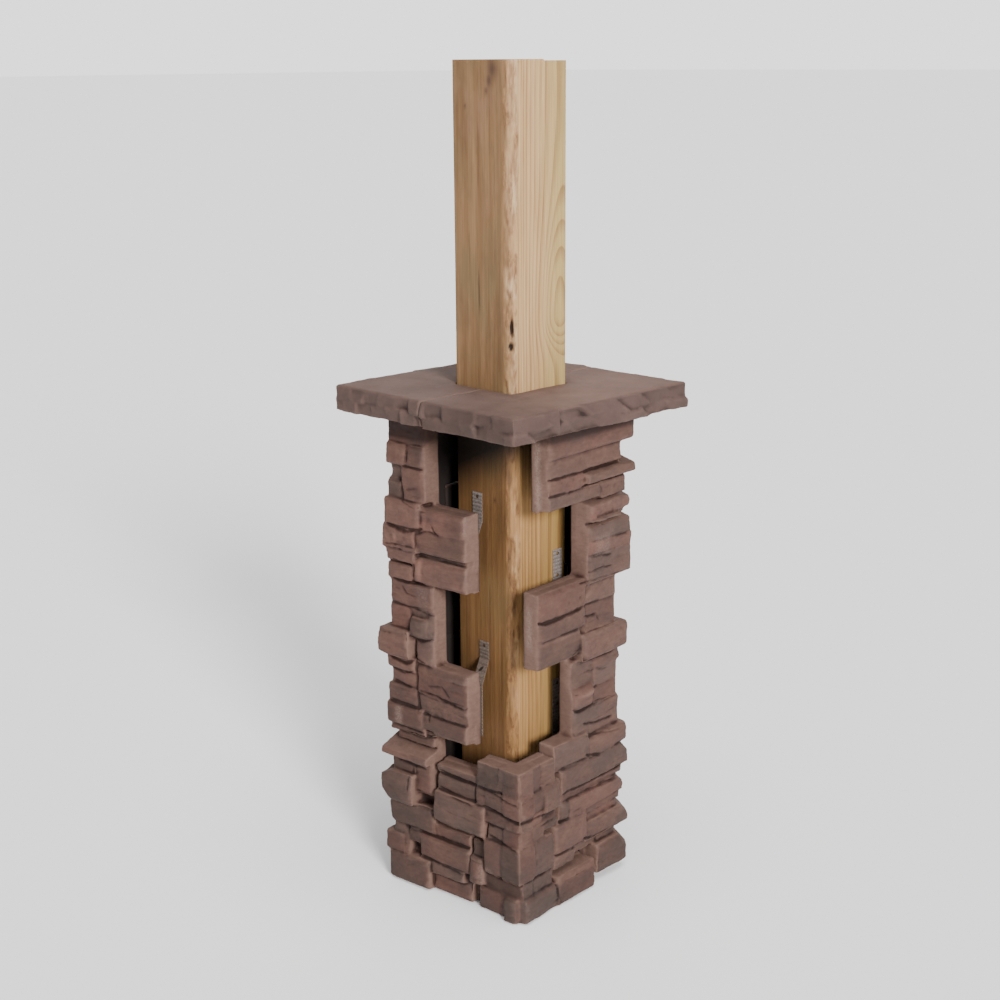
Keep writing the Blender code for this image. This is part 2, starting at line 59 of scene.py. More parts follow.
# Share of the first round of smoothing, and rounds that show the hollows
SOFTEN = 0.45
WIDE_ROUNDS = 24
MOST_TRIANGLES = {"left": 190000, "right": 190000, "back": 110000, "front_low": 130000}
MOST_TRIANGLES_CAP = 80000


# Noise on arrays of points

def hashed(ix, iy, iz, seed):
    """A fixed pseudo-random number from 0 to 1 for each whole-number cell."""
    n = (ix * 374761393 + iy * 668265263 + iz * 2147483629 + seed * 974634777) & 0xFFFFFFFF
    n = ((n ^ (n >> 13)) * 1274126177) & 0xFFFFFFFF
    n = ((n ^ (n >> 16)) * 974711) & 0xFFFFFFFF
    return ((n ^ (n >> 15)) & 0xFFFFFF) / float(0xFFFFFF)


def noise(points, size, seed):
    """Smooth noise from -1 to 1; size is the length of one swell, for all axes or one for each."""
    q = points / np.asarray(size, float) + 500.0
    cell = np.floor(q).astype(np.int64)
    f = q - cell
    w = f * f * f * (f * (f * 6.0 - 15.0) + 10.0)
    total = np.zeros(len(points))
    for dx in (0, 1):
        for dy in (0, 1):
            for dz in (0, 1):
                share = (w[:, 0] if dx else 1.0 - w[:, 0]) * (w[:, 1] if dy else 1.0 - w[:, 1])
                share = share * (w[:, 2] if dz else 1.0 - w[:, 2])
                total += share * hashed(cell[:, 0] + dx, cell[:, 1] + dy, cell[:, 2] + dz, seed)
    return 2.0 * total - 1.0


def layered_noise(points, size, seed, layers=3):
    """Several noises, each half the size and about half the height of the one before."""
    size = np.asarray(size, float) * np.ones(3)
    total = np.zeros(len(points))
    height = 1.0
    turned = points.copy()
    for k in range(layers):
        total += height * noise(turned, size, seed + 11 * k)
        size = size * 0.5
        height *= 0.55
        turned = turned + 0.0137
    return total


def step(low, high, value):
    """A smooth rise from 0 at low to 1 at high, or a fall where low is the greater."""
    t = np.clip((value - low) / (high - low), 0.0, 1.0)
    return t * t * (3.0 - 2.0 * t)


# Meshes as arrays

def read(items, name, width, kind=float):
    """One property of all the points or edges of a mesh, a row for each."""
    values = np.empty(len(items) * width, dtype=kind)
    items.foreach_get(name, values)
    return values.reshape(-1, width)


def write_points(mesh, co):
    mesh.vertices.foreach_set("co", np.ascontiguousarray(co, dtype=np.float32).ravel())
    mesh.update()


def relax(values, edges, rounds, share=0.5):
    """Move each value towards the mean of its neighbours, some rounds over."""
    count = len(values)
    columns = values.reshape(count, -1).copy()
    a = np.concatenate([edges[:, 0], edges[:, 1]])
    b = np.concatenate([edges[:, 1], edges[:, 0]])
    degree = np.maximum(np.bincount(a, minlength=count), 1)
    for _ in range(rounds):
        for k in range(columns.shape[1]):
            mean = np.bincount(a, weights=columns[b, k], minlength=count) / degree
            columns[:, k] += share * (mean - columns[:, k])
    return columns.reshape(values.shape)


def set_attributes(mesh, **looks):
    """Named numbers for each point, which the materials read."""
    for name, values in looks.items():
        made = mesh.attributes.new(name, "FLOAT", "POINT")
        made.data.foreach_set("value", np.ascontiguousarray(values, dtype=np.float32))


def new_object(name, mesh):
    made = bpy.data.objects.new(name, mesh)
    bpy.context.scene.collection.objects.link(made)
    return made


def bake(made, kind, **settings):
    """Run one modifier on an object and keep the mesh that it gives."""
    modifier = made.modifiers.new("change", kind)
    for key, value in settings.items():
        setattr(modifier, key, value)
    graph = bpy.context.evaluated_depsgraph_get()
    mesh = bpy.data.meshes.new_from_object(made.evaluated_get(graph))
    made.modifiers.remove(modifier)
    old = made.data
    made.data = mesh
    bpy.data.meshes.remove(old)
    mesh.name = made.name
    mesh.shade_smooth()


def fine_copy(name, node):
    """A copy of a CAD node, remeshed to even small faces, with its edges and its softened points."""
    mesh = NODES[node].data.copy()
    bm = bmesh.new()
    bm.from_mesh(mesh)
    bmesh.ops.remove_doubles(bm, verts=bm.verts, dist=0.002 * MM)
    bm.to_mesh(mesh)
    bm.free()
    made = new_object(name, mesh)
    bake(made, "REMESH", mode="VOXEL", voxel_size=VOXEL)
    made.data.materials.clear()
    edges = read(made.data.edges, "vertices", 2, np.int64)
    return made, edges, relax(read(made.data.vertices, "co", 3), edges, 1, SOFTEN)


def thin_out(made, most):
    """Merge the faces that carry least shape until about the given number of triangles is left."""
    have = sum(len(f.vertices) - 2 for f in made.data.polygons)
    if have > most:
        bake(made, "DECIMATE", ratio=most / have)


def bends(co, edges, normals, rounds):
    """How far each point stands out in mm, and how deep in a hollow it lies, from -1 to 1."""
    near = relax(co, edges, rounds)
    wide = relax(co, edges, WIDE_ROUNDS)
    ridge = np.einsum("ij,ij->i", co - near, normals) / MM
    hollow = np.einsum("ij,ij->i", wide - co, normals) / MM
    return np.clip(ridge, 0.0, 3.0), np.clip(hollow / 2.6, -1.0, 1.0)


def turned(v, angle):
    """Points or directions turned about Z."""
    c, s = math.cos(angle), math.sin(angle)
    return np.stack([c * v[:, 0] - s * v[:, 1], s * v[:, 0] + c * v[:, 1], v[:, 2]], axis=1)


def wrap_axes(co):
    """Points of the frame in the wrap's own axes."""
    return turned(co - WRAP_SHIFT, -WRAP_TURN)


def along_side(co, side):
    """Distance along a side, from the open front corner where it is seen and from a rear corner elsewhere."""
    x, y = co[..., 0], co[..., 1]
    return np.choose(side, [HALF_WRAP - x, HALF_WRAP + y, HALF_WRAP + x, HALF_WRAP - y])


# Stones of a panel

# A stone's face looks outward, lies far out and bends by less than this angle between facets
STONE_FLAT = 0.80
STONE_OUT = 125.0 * MM
PATCH_BEND = 0.22


def stone_faces(node):
    """A tree of the stones' triangles, the stone of each, and each stone's side, distances and heights."""
    bm = bmesh.new()
    bm.from_mesh(NODES[node].data)
    bmesh.ops.remove_doubles(bm, verts=bm.verts, dist=0.01 * MM)
    bmesh.ops.triangulate(bm, faces=bm.faces)
    bm.normal_update()
    bm.faces.ensure_lookup_table()
    centres = wrap_axes(np.array([f.calc_center_median() for f in bm.faces]))
    normals = turned(np.array([f.normal for f in bm.faces]), -WRAP_TURN)
    side = np.full(len(bm.faces), -1)
    for k, (dx, dy) in enumerate(SIDES):
        facing = normals[:, 0] * dx + normals[:, 1] * dy
        out = centres[:, 0] * dx + centres[:, 1] * dy
        side[(facing > STONE_FLAT) & (out > STONE_OUT)] = k
    stone = np.full(len(bm.faces), -1)
    stones = []
    for f in bm.faces:
        if side[f.index] < 0 or stone[f.index] >= 0:
            continue
        number = len(stones)
        stone[f.index] = number
        todo = [f]
        points = []
        while todo:
            g = todo.pop()
            points += [v.co.copy() for v in g.verts]
            for e in g.edges:
                for h in e.link_faces:
                    same = side[h.index] == side[f.index] and stone[h.index] < 0
                    if same and h.normal.angle(g.normal, 0.0) < PATCH_BEND:
                        stone[h.index] = number
                        todo.append(h)
        local = wrap_axes(np.array(points))
        k = int(side[f.index])
        u = along_side(local, np.full(len(local), k))
        stones.append((k, u.min(), u.max(), local[:, 2].min(), local[:, 2].max()))
    triangles = [f for f in bm.faces if stone[f.index] >= 0]
    corners = [v.co.copy() for f in triangles for v in f.verts]
    tree = BVHTree.FromPolygons(corners, [(3 * k, 3 * k + 1, 3 * k + 2) for k in range(len(triangles))])
    owner = stone[[f.index for f in triangles]]
    bm.free()
    return tree, owner, np.array(stones)


# Cracks and open joints by side, in mm: depth, half width, then distance along the side and height of each
# point. Their order counts, because the number of a crack is part of its noise.
CRACKS = {
    EAST: [
        (4.5, 1.9, 80, 818, 180, 817, 286, 815), (2.2, 1.3, 81, 787, 130, 786, 184, 785),
        (4.2, 1.8, 188, 794, 234, 789, 332, 791), (1.8, 1.3, 233, 787, 237, 776, 243, 762),
        (2.4, 1.6, 155, 753, 190, 754, 233, 751), (3.2, 1.7, 266, 680, 312, 677),
        (2.8, 1.7, 200, 653, 232, 651, 266, 646), (2.8, 1.7, 184, 627, 232, 627, 270, 624),
        (3.2, 1.9, 176, 609, 240, 607, 302, 606), (3.0, 2.0, 80, 876, 80, 846, 81, 820),
        (5.5, 2.6, 56, 569, 66, 562, 82, 558, 130, 558, 184, 561), (3.6, 2.2, 40, 553, 50, 548, 60, 547),
        (3.8, 1.9, 186, 544, 206, 540, 229, 537), (1.8, 1.8, 229, 537, 239, 521),
        (1.2, 2.6, 121, 527, 184, 520), (2.8, 1.7, 161, 475, 184, 484),
        (5.0, 2.4, 178, 473, 186, 462, 200, 455, 286, 452), (1.6, 1.5, 235, 427, 266, 423),
        (4.4, 2.4, 157, 374, 166, 366, 179, 361, 220, 360), (2.4, 1.6, 225, 366, 279, 363),
        (4.2, 2.2, 194, 332, 233, 324, 284, 321), (2.2, 1.7, 189, 311, 233, 301, 300, 292),
        (2.0, 1.6, 102, 272, 150, 270, 195, 266), (4.4, 2.4, 193, 272, 207, 269, 237, 260),
        (6.0, 2.8, 126, 217, 210, 215, 309, 213), (6.0, 2.6, 140, 197, 220, 195, 298, 194),
        (3.2, 2.0, -12, 209, 0, 202, 63, 199), (4.8, 2.4, 61, 197, 90, 196, 114, 193, 115, 179),
        (3.0, 1.7, 59, 177, 103, 176), (3.2, 1.9, 101, 165, 146, 158), (3.2, 1.8, 72, 157, 97, 155),
        (1.6, 1.6, 153, 171, 184, 168), (2.6, 1.8, 101, 100, 140, 99, 184, 98),
        (5.4, 3.0, 187, 104, 214, 95, 291, 92), (5.4, 3.0, 40, 82, 75, 79), (1.8, 1.8, -4, 82, 40, 81),
        (1.2, 1.8, -8, 60, 8, 50, 60, 52, 100, 50), (2.2, 1.9, 99, 50, 104, 24, 113, 0),
        (1.8, 1.7, 115, 60, 170, 58, 214, 58), (1.8, 1.7, 164, 96, 165, 62),
    ],
    SOUTH: [
        (3.4, 2.0, 272, 819, 271, 788, 270, 758), (1.8, 1.6, 268, 823, 201, 819),
        (2.0, 1.7, 258, 852, 257, 823), (1.4, 1.5, 264, 777, 236, 785, 218, 785, 216, 762),
        (5.0, 2.4, 308, 710, 280, 704, 258, 703, 224, 711), (2.2, 1.6, 274, 758, 239, 749, 216, 752),
        (3.0, 1.8, 316, 671, 280, 673, 239, 674), (3.6, 2.0, 204, 723, 196, 712, 186, 706),
        (1.8, 1.6, 215, 709, 182, 705), (2.8, 1.8, 216, 709, 236, 701, 239, 670),
        (3.4, 1.9, 245, 646, 249, 609), (3.4, 1.9, 300, 642, 258, 638),
        (4.6, 2.2, 300, 607, 266, 604, 224, 606), (1.4, 1.3, 144, 621, 117, 610),
        (1.8, 1.4, 122, 613, 106, 606), (1.8, 1.7, 279, 597, 266, 582, 240, 580),
        (3.2, 2.1, 262, 557, 232, 551, 203, 547), (1.8, 1.6, 304, 561, 260, 555),
        (4.2, 2.4, 258, 538, 260, 509, 243, 496, 205, 503), (3.8, 2.2, 258, 502, 245, 464),
        (5.0, 2.4, 308, 454, 268, 446, 245, 459, 224, 454), (2.8, 1.8, 308, 429, 278, 423, 245, 437),
        (3.8, 2.3, 243, 433, 241, 357), (3.8, 2.2, 241, 400, 197, 399, 159, 391, 131, 386, 117, 396),
        (1.8, 2.4, 216, 414, 182, 420, 163, 400), (3.2, 1.9, 241, 357, 218, 353, 216, 341),
        (2.4, 1.7, 213, 353, 125, 353), (1.3, 1.6, 159, 376, 117, 372), (2.8, 1.8, 306, 405, 260, 398),
        (3.2, 1.8, 312, 368, 247, 364), (3.2, 1.8, 308, 322, 228, 315),
        (4.2, 2.2, 293, 307, 220, 309, 205, 318), (3.8, 2.2, 302, 247, 224, 247),
        (2.8, 1.9, 258, 241, 259, 196), (5.4, 2.9, 214, 168, 211, 157, 167, 142, 106, 139, 102, 157),
        (3.2, 1.9, 197, 220, 151, 211, 106, 207), (4.8, 2.9, 199, 252, 106, 247),
        (2.8, 1.9, 106, 249, 106, 207), (3.8, 2.1, 100, 251, 33, 241, 2, 238), (4.4, 2.4, 83, 215, 2, 201),
        (4.2, 2.0, 83, 184, 60, 180), (4.4, 2.2, 73, 161, 0, 148), (3.8, 2.0, 81, 138, 83, 85),
        (5.0, 3.4, 83, 83, -6, 81), (2.8, 2.4, 285, 113, 113, 115), (3.4, 2.0, 239, 66, 125, 58),
        (2.2, 1.8, 216, 62, 214, 8), (2.2, 1.8, 213, 37, 132, 35),
    ],
}

# Swellings and pits by side: distance, height, half length, half height, how far it stands out
SWELLS = {
    SOUTH: [
        (236, 520, 20, 17, 5.0), (237, 633, 8, 24, 3.5), (233, 176, 20, 12, -7.0), (118, 34, 14, 12, -7.0),
        (260, 75, 11, 9, -6.0), (101, 76, 12, 22, 3.5), (160, 180, 50, 28, 2.5), (222, 812, 30, 9, -2.0),
        (150, 730, 26, 16, -2.0), (170, 432, 60, 14, 2.5), (40, 115, 34, 24, 2.0),
    ],
    EAST: [
        (205, 393, 26, 9, 4.0), (168, 398, 16, 9, -3.0), (225, 737, 44, 15, 2.5), (232, 668, 22, 14, 1.8),
        (92, 189, 22, 6, -4.5), (150, 125, 44, 22, 2.5), (90, 225, 22, 20, 2.0), (48, 118, 40, 30, 2.0),
        (250, 490, 60, 22, 2.0),
    ],
}

# Duller, darker patches by side: distance, height, half length, half height, strength
DULL = {
    SOUTH: [
        (146, 726, 24, 26, 1.0), (228, 776, 13, 12, 0.8), (290, 775, 18, 16, 0.7), (160, 684, 36, 12, 0.7),
        (235, 578, 24, 20, 0.5), (290, 185, 30, 24, 0.7), (60, 262, 60, 14, 0.8), (40, 62, 44, 14, 0.8),
        (210, 420, 30, 12, 0.5),
    ],
    EAST: [
        (60, 255, 40, 20, 0.5), (120, 535, 40, 14, 0.5), (220, 770, 24, 12, 0.5), (250, 742, 40, 12, 0.4),
        (60, 30, 60, 24, 0.6),
    ],
}

# Paler patches, given in the same way; many are painted highlights on top facets, edges and swellings
PALE = {
    EAST: [
        (250, 509, 62, 7, 1.0), (206, 393, 26, 8, 0.9), (240, 698, 44, 16, 0.5), (180, 862, 80, 12, 0.35),
        (52, 584, 14, 14, 0.5), (30, 222, 36, 10, 0.5), (148, 720, 4, 28, 0.5),
    ],
    SOUTH: [
        (287, 690, 5, 10, 1.0), (281, 344, 5, 16, 1.0), (285, 278, 50, 7, 0.9), (160, 758, 50, 5, 0.9),
        (219, 735, 5, 22, 0.8), (233, 632, 8, 24, 0.8), (300, 511, 30, 6, 0.9), (253, 490, 7, 16, 0.7),
        (200, 545, 14, 30, 0.4), (155, 182, 50, 28, 0.6), (101, 78, 10, 20, 0.8), (45, 120, 34, 22, 0.35),
        (190, 452, 70, 8, 0.6), (110, 100, 8, 6, 0.9),
    ],
}

# Joints that hardly show, by side: distance from, to, height from, to, share taken away
QUIET = {
    SOUTH: [
        (108, 232, 697, 719, 1.0), (118, 214, 350, 367, 0.6), (100, 230, 425, 458, 0.8),
        (90, 320, 0, 64, 0.4), (-20, 90, 0, 64, 0.95), (120, 300, 104, 122, 0.5),
    ],
    EAST: [
        (-20, 112, 0, 38, 0.95), (180, 320, 716, 730, 0.8), (0, 112, 146, 264, 0.8),
        (100, 165, 190, 208, 0.7), (0, 112, 36, 64, 0.9), (145, 232, 394, 450, 0.85),
        (50, 182, 518, 538, 0.8), (195, 285, 565, 600, 0.8), (100, 225, 100, 150, 0.6),
        (80, 300, 848, 860, 0.7),
    ],
}

# Crumbly, paler places as boxes in the wrap's axes: x from, to, y from, to, z from, to, strength
CRUMBS = [
    (124, 137, -72, -60, 764, 882, 1.0), (124, 137, -106, -92, 510, 590, 0.5),
    (26, 40, -160, -122, 714, 752, 0.16), (-138, -122, -168, -150, 322, 358, 0.5),
    (-82, -58, -170, -148, 548, 600, 0.2), (60, 96, -170, -150, 56, 98, 0.25),
    (150, 176, 58, 100, 652, 690, 0.25),
]

# Edges worn round, as boxes in the wrap's axes with the rounds of smoothing
WORN = [
    (120, 176, 28, 62, 620, 752, 26), (-10, 50, -170, -100, 425, 460, 18),
    (-72, -40, -176, -120, 455, 548, 10), (-66, -36, -176, -120, 760, 860, 10),
    (118, 176, -112, -84, 466, 612, 12), (118, 172, -6, 22, 318, 468, 16),
    (-70, 40, -176, -120, 700, 716, 22), (-58, 38, -176, -120, 354, 365, 14),
    (120, 176, -8, 74, 398, 450, 22), (120, 180, -158, -46, 148, 200, 8), (104, 180, -180, -96, 6, 54, 30),
    (60, 110, -180, -120, 8, 46, 14),
]

# How far in mm a crack is worked out beside its line and past its ends
CRACK_REACH = 12.0
CRACK_PAST_END = 5.0


def carve_cracks(local, side):
    """Depth at each point of the cracks on its side."""
    depth = np.zeros(len(local))
    u = along_side(local, side) / MM
    z = local[:, 2] / MM
    cracks = [(on, *row) for on, rows in CRACKS.items() for row in rows]
    for number, (on, deep, half, *places) in enumerate(cracks):
        points = list(zip(places[::2], places[1::2]))
        fresh = np.zeros(len(local))
        total = sum(math.hypot(b[0] - a[0], b[1] - a[1]) for a, b in zip(points, points[1:]))
        before = 0.0
        for (u0, z0), (u1, z1) in zip(points, points[1:]):
            length = math.hypot(u1 - u0, z1 - z0)
            du, dz = (u1 - u0) / length, (z1 - z0) / length
            run = (u - u0) * du + (z - z0) * dz
            beside = (z - z0) * du - (u - u0) * dz
            near = (run > -CRACK_PAST_END) & (run < length + CRACK_PAST_END) & (np.abs(beside) < CRACK_REACH)
            near &= side == on
            r = run[near]
            over = np.maximum(np.maximum(-r, r - length), 0.0)
            path = np.stack([u[near], z[near], np.full(len(r), 9.0 * number)], axis=1)
            away = np.hypot(beside[near] + 1.1 * noise(path, 17.0, 901) + 0.6 * noise(path, 6.0, 902), over)
            done = before + r
            ends = step(-3.0, 9.0, done) * step(-3.0, 9.0, total - done)
            width = half * (0.85 + 0.4 * noise(path, 21.0, 903)) * (0.45 + 0.55 * ends)
            dip = deep * (0.35 + 0.65 * ends) * np.exp(-(away / width) ** 2)
            fresh[near] = np.maximum(fresh[near], dip)
            before += length
        depth = np.maximum(depth, fresh)
    return depth * MM


def swell(local, side, patches):
    """How far the swellings and pits stand out at each point, or how strong other patches are there."""
    rise = np.zeros(len(local))
    u = along_side(local, side) / MM
    z = local[:, 2] / MM
    for on, rows in patches.items():
        for u0, z0, half_u, half_z, high in rows:
            away = ((u - u0) / half_u) ** 2 + ((z - z0) / half_z) ** 2
            rise += np.where(side == on, high * np.exp(-away ** 1.6), 0.0)
    return rise


def in_box(local, box):
    """1 inside a box given in mm in the wrap's axes, falling to 0 over a few mm at its edge."""
    soft = 5.0
    share = np.ones(len(local))
    for axis in range(3):
        value = local[:, axis] / MM
        share = share * step(box[2 * axis] - soft, box[2 * axis] + soft, value)
        share = share * step(box[2 * axis + 1] + soft, box[2 * axis + 1] - soft, value)
    return share


# How far out the outer half of a stone begins, from nothing to full
OUTER_FROM, OUTER_FULL = 132.0 * MM, 142.0 * MM
# By side: how much darker the stones are painted toward the ground, a painted shade, and where the painted
# shade under the cap begins
GROUND_SHADE = np.array([0.98, 0.84, 0.5, 0.5])
UNDER_CAP = np.array([861.0, 874.0, 866.0, 866.0])


def dress_panel(name, node, most, material):
    """One corner panel: soft edges, a form of its own for each stone, strata, cracks and chips."""
    made, edges, co = fine_copy(name, node)
    mesh = made.data
    for box in WORN:
        share = in_box(wrap_axes(co), box[:6])
        if share.max() > 0.0:
            co = co + (relax(co, edges, box[6]) - co) * share[:, None]
    write_points(mesh, co)
    normals = read(mesh.vertices, "normal", 3)
    local = wrap_axes(co)
    facing = turned(normals, -WRAP_TURN)
    tree, owner, stones = stone_faces(node)
    stone = np.array([owner[tree.find_nearest(point)[2]] for point in co])
    side = stones[stone, 0].astype(np.int64)
    left, right, foot, head = stones[stone, 1:].T
    out = np.array(SIDES)[side]
    u = along_side(local, side)
    z = local[:, 2]
    facing_out = facing[:, 0] * out[:, 0] + facing[:, 1] * out[:, 1]
    across = local[:, 0] * out[:, 0] + local[:, 1] * out[:, 1]
    outer = step(OUTER_FROM, OUTER_FULL, across)
    front = step(0.25, 0.8, facing_out) * outer
    half_u = (right - left) / 2.0 + 3.0 * MM
    half_z = (head - foot) / 2.0 + 3.0 * MM
    a = np.clip((u - (left + right) / 2.0) / half_u, -1.0, 1.0)
    b = np.clip((z - (foot + head) / 2.0) / half_z, -1.0, 1.0)
    key_u = np.round(left / MM).astype(np.int64)
    key_z = np.round(foot / MM).astype(np.int64)

    def lot(seed):
        """One random number from 0 to 1 for each stone, read at each point."""
        return hashed(key_u, key_z, side, seed)

    small = np.clip(np.minimum(half_u, half_z) / (22.0 * MM), 0.2, 1.0)
    shape = (2.8 * lot(1) - 0.3) * (1.0 - a ** 2) * (1.0 - b ** 4) * small
    shape += 3.4 * (lot(2) - 0.5) * a * small + 3.8 * (lot(3) - 0.55) * b * small
    shape += swell(local, side, SWELLS)
    shape += 1.3 * layered_noise(local, (0.045, 0.045, 0.028), 5) * small
    # strata: thin layers that stand out or back by a fraction of a millimetre
    thick = (6.0 + 8.0 * lot(4)) * MM
    lean = (lot(5) - 0.5) * 0.12
    wave = 3.2 * MM * noise(local, (0.07, 0.07, 0.05), 21) + 1.1 * MM * noise(local, (0.018, 0.018, 0.02), 22)
    level = (z + lean * u + wave) / thick + 40.0
    number = np.floor(level).astype(np.int64)
    t = level - number
    this = hashed(number, key_u, key_z, 31)
    before = hashed(number - 1, key_u, key_z, 31)
    layer = before + (this - before) * step(0.0, 0.3, t)
    strong = step(0.15, 0.9, lot(6))
    shape += (0.35 + 1.3 * strong) * (layer - 0.5)
    seam = np.exp(-((t - 0.12) / 0.11) ** 2) * (this < before)
    shown = step(-0.1, 0.5, noise(local, (0.05, 0.05, 0.009), 33) + 0.5 * (this - 0.5))
    shape -= (0.3 + 1.3 * strong) * seam * shown
    # a dark joint runs under each stone and, weaker, above and beside it
    low_edge = (z - foot) / MM
    high_edge = (head - z) / MM
    side_edge = np.minimum(u - left, right - u) / MM
    jog = 1.2 * noise(local, 0.02, 45)
    open_low = step(-0.35, 0.25, noise(local, (0.05, 0.05, 0.2), 46) + 0.3)
    open_side = step(-0.1, 0.5, noise(local, (0.2, 0.2, 0.04), 47))
    joint = open_low * step(3.4, 0.4, low_edge + jog)
    joint = np.maximum(joint, 0.55 * open_side * step(3.0, 0.4, side_edge + jog))
    joint = np.maximum(joint, 0.5 * open_low * step(2.4, 0.2, high_edge + jog))
    for on, rows in QUIET.items():
        for u0, u1, z0, z1, less in rows:
            quiet = (side == on) & (u > u0 * MM) & (u < u1 * MM) & (z > z0 * MM) & (z < z1 * MM)
            joint = np.where(quiet, (1.0 - less) * joint, joint)
    shape -= 1.9 * joint
    # fine grit, stronger on the broken stones
    rough = step(0.55, 0.95, lot(7))
    grit = layered_noise(local, (0.011, 0.011, 0.008), 41, 2)
    shape += (0.22 + 0.75 * rough) * grit
    shift = turned(np.column_stack([out, np.zeros(len(co))]), WRAP_TURN)
    moved = co + shift * (shape * front * MM)[:, None]

    # worn and chipped arrises
    ridge, hollow = bends(moved, edges, normals, 5)
    chip = step(0.05, 0.7, layered_noise(local, (0.026, 0.026, 0.015), 51, 2) + 0.25)
    wear = ridge * (0.15 + 1.5 * chip) * outer
    moved = moved - normals * (wear * MM)[:, None]
    cut = carve_cracks(local, side) * front
    moved = moved - shift * cut[:, None]
    crumb = np.zeros(len(co))
    for box in CRUMBS:
        crumb = np.maximum(crumb, in_box(local, box[:6]) * box[6])
    coarse = layered_noise(co, (0.007, 0.007, 0.005), 63, 2)
    moved = moved + normals * (crumb * (1.5 * coarse - 0.6) * MM)[:, None]
    wobble = 0.5 * noise(local, 0.03, 61) * (1.0 - front)
    flat_end = step(0.5, 2.5, z / MM) * step(0.5, 2.5, (WRAP_TOP - z) / MM)
    moved = moved + normals * (wobble * flat_end * MM)[:, None]
    moved[:, 2] = np.clip(moved[:, 2], co[:, 2].min(), co[:, 2].max())
    write_points(mesh, moved)

    # crevice: hollows and cracks are painted darker in the material, a painted shade, with the joints; it
    # falls below zero on ridges, which are painted paler, a painted highlight
    crevice = hollow + np.clip(cut / MM / 2.0, 0.0, 1.0) + 0.3 * joint * front
    # painted shade: the stones are painted darker toward the ground, by side
    ground = GROUND_SHADE[side] * step(750.0, 60.0, z / MM)
    set_attributes(
        mesh,
        crevice=relax(crevice, edges, 1),
        tone=relax(lot(8) * 0.9 + 0.2 - ground, edges, 2),
        grain=relax(crumb, edges, 4),
        # inner faces and faces turned to the post, painted nearly black: painted shade
        inside=np.maximum(step(-0.2, -0.75, facing_out), step(119.0, 115.5, across / MM)),
        dull=np.clip(swell(local, side, DULL), 0.0, 1.0),
        pale=np.clip(swell(local, side, PALE), 0.0, 1.0) * front,
        # painted shade of the cap on the band of stone just under it
        grime=step(0.0, 14.0, z / MM - UNDER_CAP[side]),
        hue=relax(lot(9), edges, 2),
        face=relax(front, edges, 1))
    mesh.materials.append(material)
    thin_out(made, most)
    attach(made, "root")
    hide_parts(node)


# Cap

CAP_REACH = 228.6 * MM
# In mm: where the upper row of tool marks begins, the middles of both rows, and the mean width of a mark
UPPER_ROW = 25.0
LOW_MIDDLE, HIGH_MIDDLE = 13.0, 38.0
SOUTH_MARK, OTHER_MARK = 41.0, 64.0


def dress_cap(name, node, material):
    """Half of the cap: tooled facets round the edge, a softly uneven top, worn arrises."""
    made, edges, co = fine_copy(name, node)
    mesh = made.data
    write_points(mesh, co)
    normals = read(mesh.vertices, "normal", 3)
    low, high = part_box(node)
    ax, ay = np.abs(co[:, 0]), np.abs(co[:, 1])
    out = np.maximum(ax, ay)
    is_x = ax > ay
    along = np.where(is_x, co[:, 1], co[:, 0])
    rim = step(CAP_REACH - 14.0 * MM, CAP_REACH - 4.0 * MM, out)
    # tooled facets in two rows, each leaning its own way: short to the south, long and slanting elsewhere
    bend = np.stack([along, is_x + np.sign(co[:, 0] + 2.0 * co[:, 1]), co[:, 2]], axis=1)
    warp = 4.0 * MM * noise(bend, (0.04, 0.5, 0.02), 71)
    edge_number = np.round(2.0 * bend[:, 1]).astype(np.int64)
    south_edge = (~is_x) & (co[:, 1] < 0.0)
    rise = co[:, 2] - low[2]
    row = (rise + 1.6 * warp > UPPER_ROW * MM).astype(np.int64)
    width = np.where(south_edge, SOUTH_MARK, OTHER_MARK) * MM
    slant = np.where(south_edge, 0.12, 1.3)
    place = (along + warp + slant * rise + 0.43 * width * row) / width
    place = place + 0.55 * noise(np.stack([place, row * 9.0, edge_number * 5.0], axis=1), 2.3, 77)
    cell = np.floor(place).astype(np.int64)
    from_u = (place - cell - 0.5) * 2.0
    from_z = (rise / MM - np.where(row > 0, HIGH_MIDDLE, LOW_MIDDLE)) / LOW_MIDDLE
    lean_u = hashed(cell, row, edge_number, 74) - 0.5
    lean_z = hashed(cell, row, edge_number, 75) - 0.5
    plane = -2.6 * hashed(cell, row, edge_number, 76) + 2.2 * lean_u * from_u + 2.4 * lean_z * from_z
    plane = (np.where(south_edge, 1.9, 2.6) * plane + 1.4 * from_u ** 2 + 0.6) * MM
    upright = step(0.3, 0.8, 1.0 - np.abs(normals[:, 2]))
    push = relax(plane * rim * (0.45 + 0.55 * upright), edges, 2)
    push += 0.5 * MM * layered_noise(co, 0.016, 81, 2) * rim
    top = step(0.5, 0.9, normals[:, 2])
    push += top * (1.3 * layered_noise(co, (0.09, 0.09, 0.2), 82) - 0.6) * MM
    moved = co + normals * push[:, None]
    ridge, hollow = bends(moved, edges, normals, 4)
    chip = step(-0.2, 0.8, layered_noise(co, 0.02, 83, 2))
    moved = moved - normals * (ridge * (0.3 + 1.3 * chip) * MM)[:, None]
    write_points(mesh, np.clip(moved, low, high))
    # crevice drives painted shade in hollows and a painted highlight on ridges
    set_attributes(mesh, crevice=relax(hollow, edges, 1), rim=rim)
    mesh.materials.append(material)
    thin_out(made, MOST_TRIANGLES_CAP)
    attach(made, "root")
    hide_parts(node)


# Post, in millimetres

POST_HALF = 69.85
POST_HEIGHT = 1524.0
POST_EASE = 3.0
# Width of the wane down the front corner, and how far it swings on each side
POST_WANE = 19.0
POST_SWING = 3.5
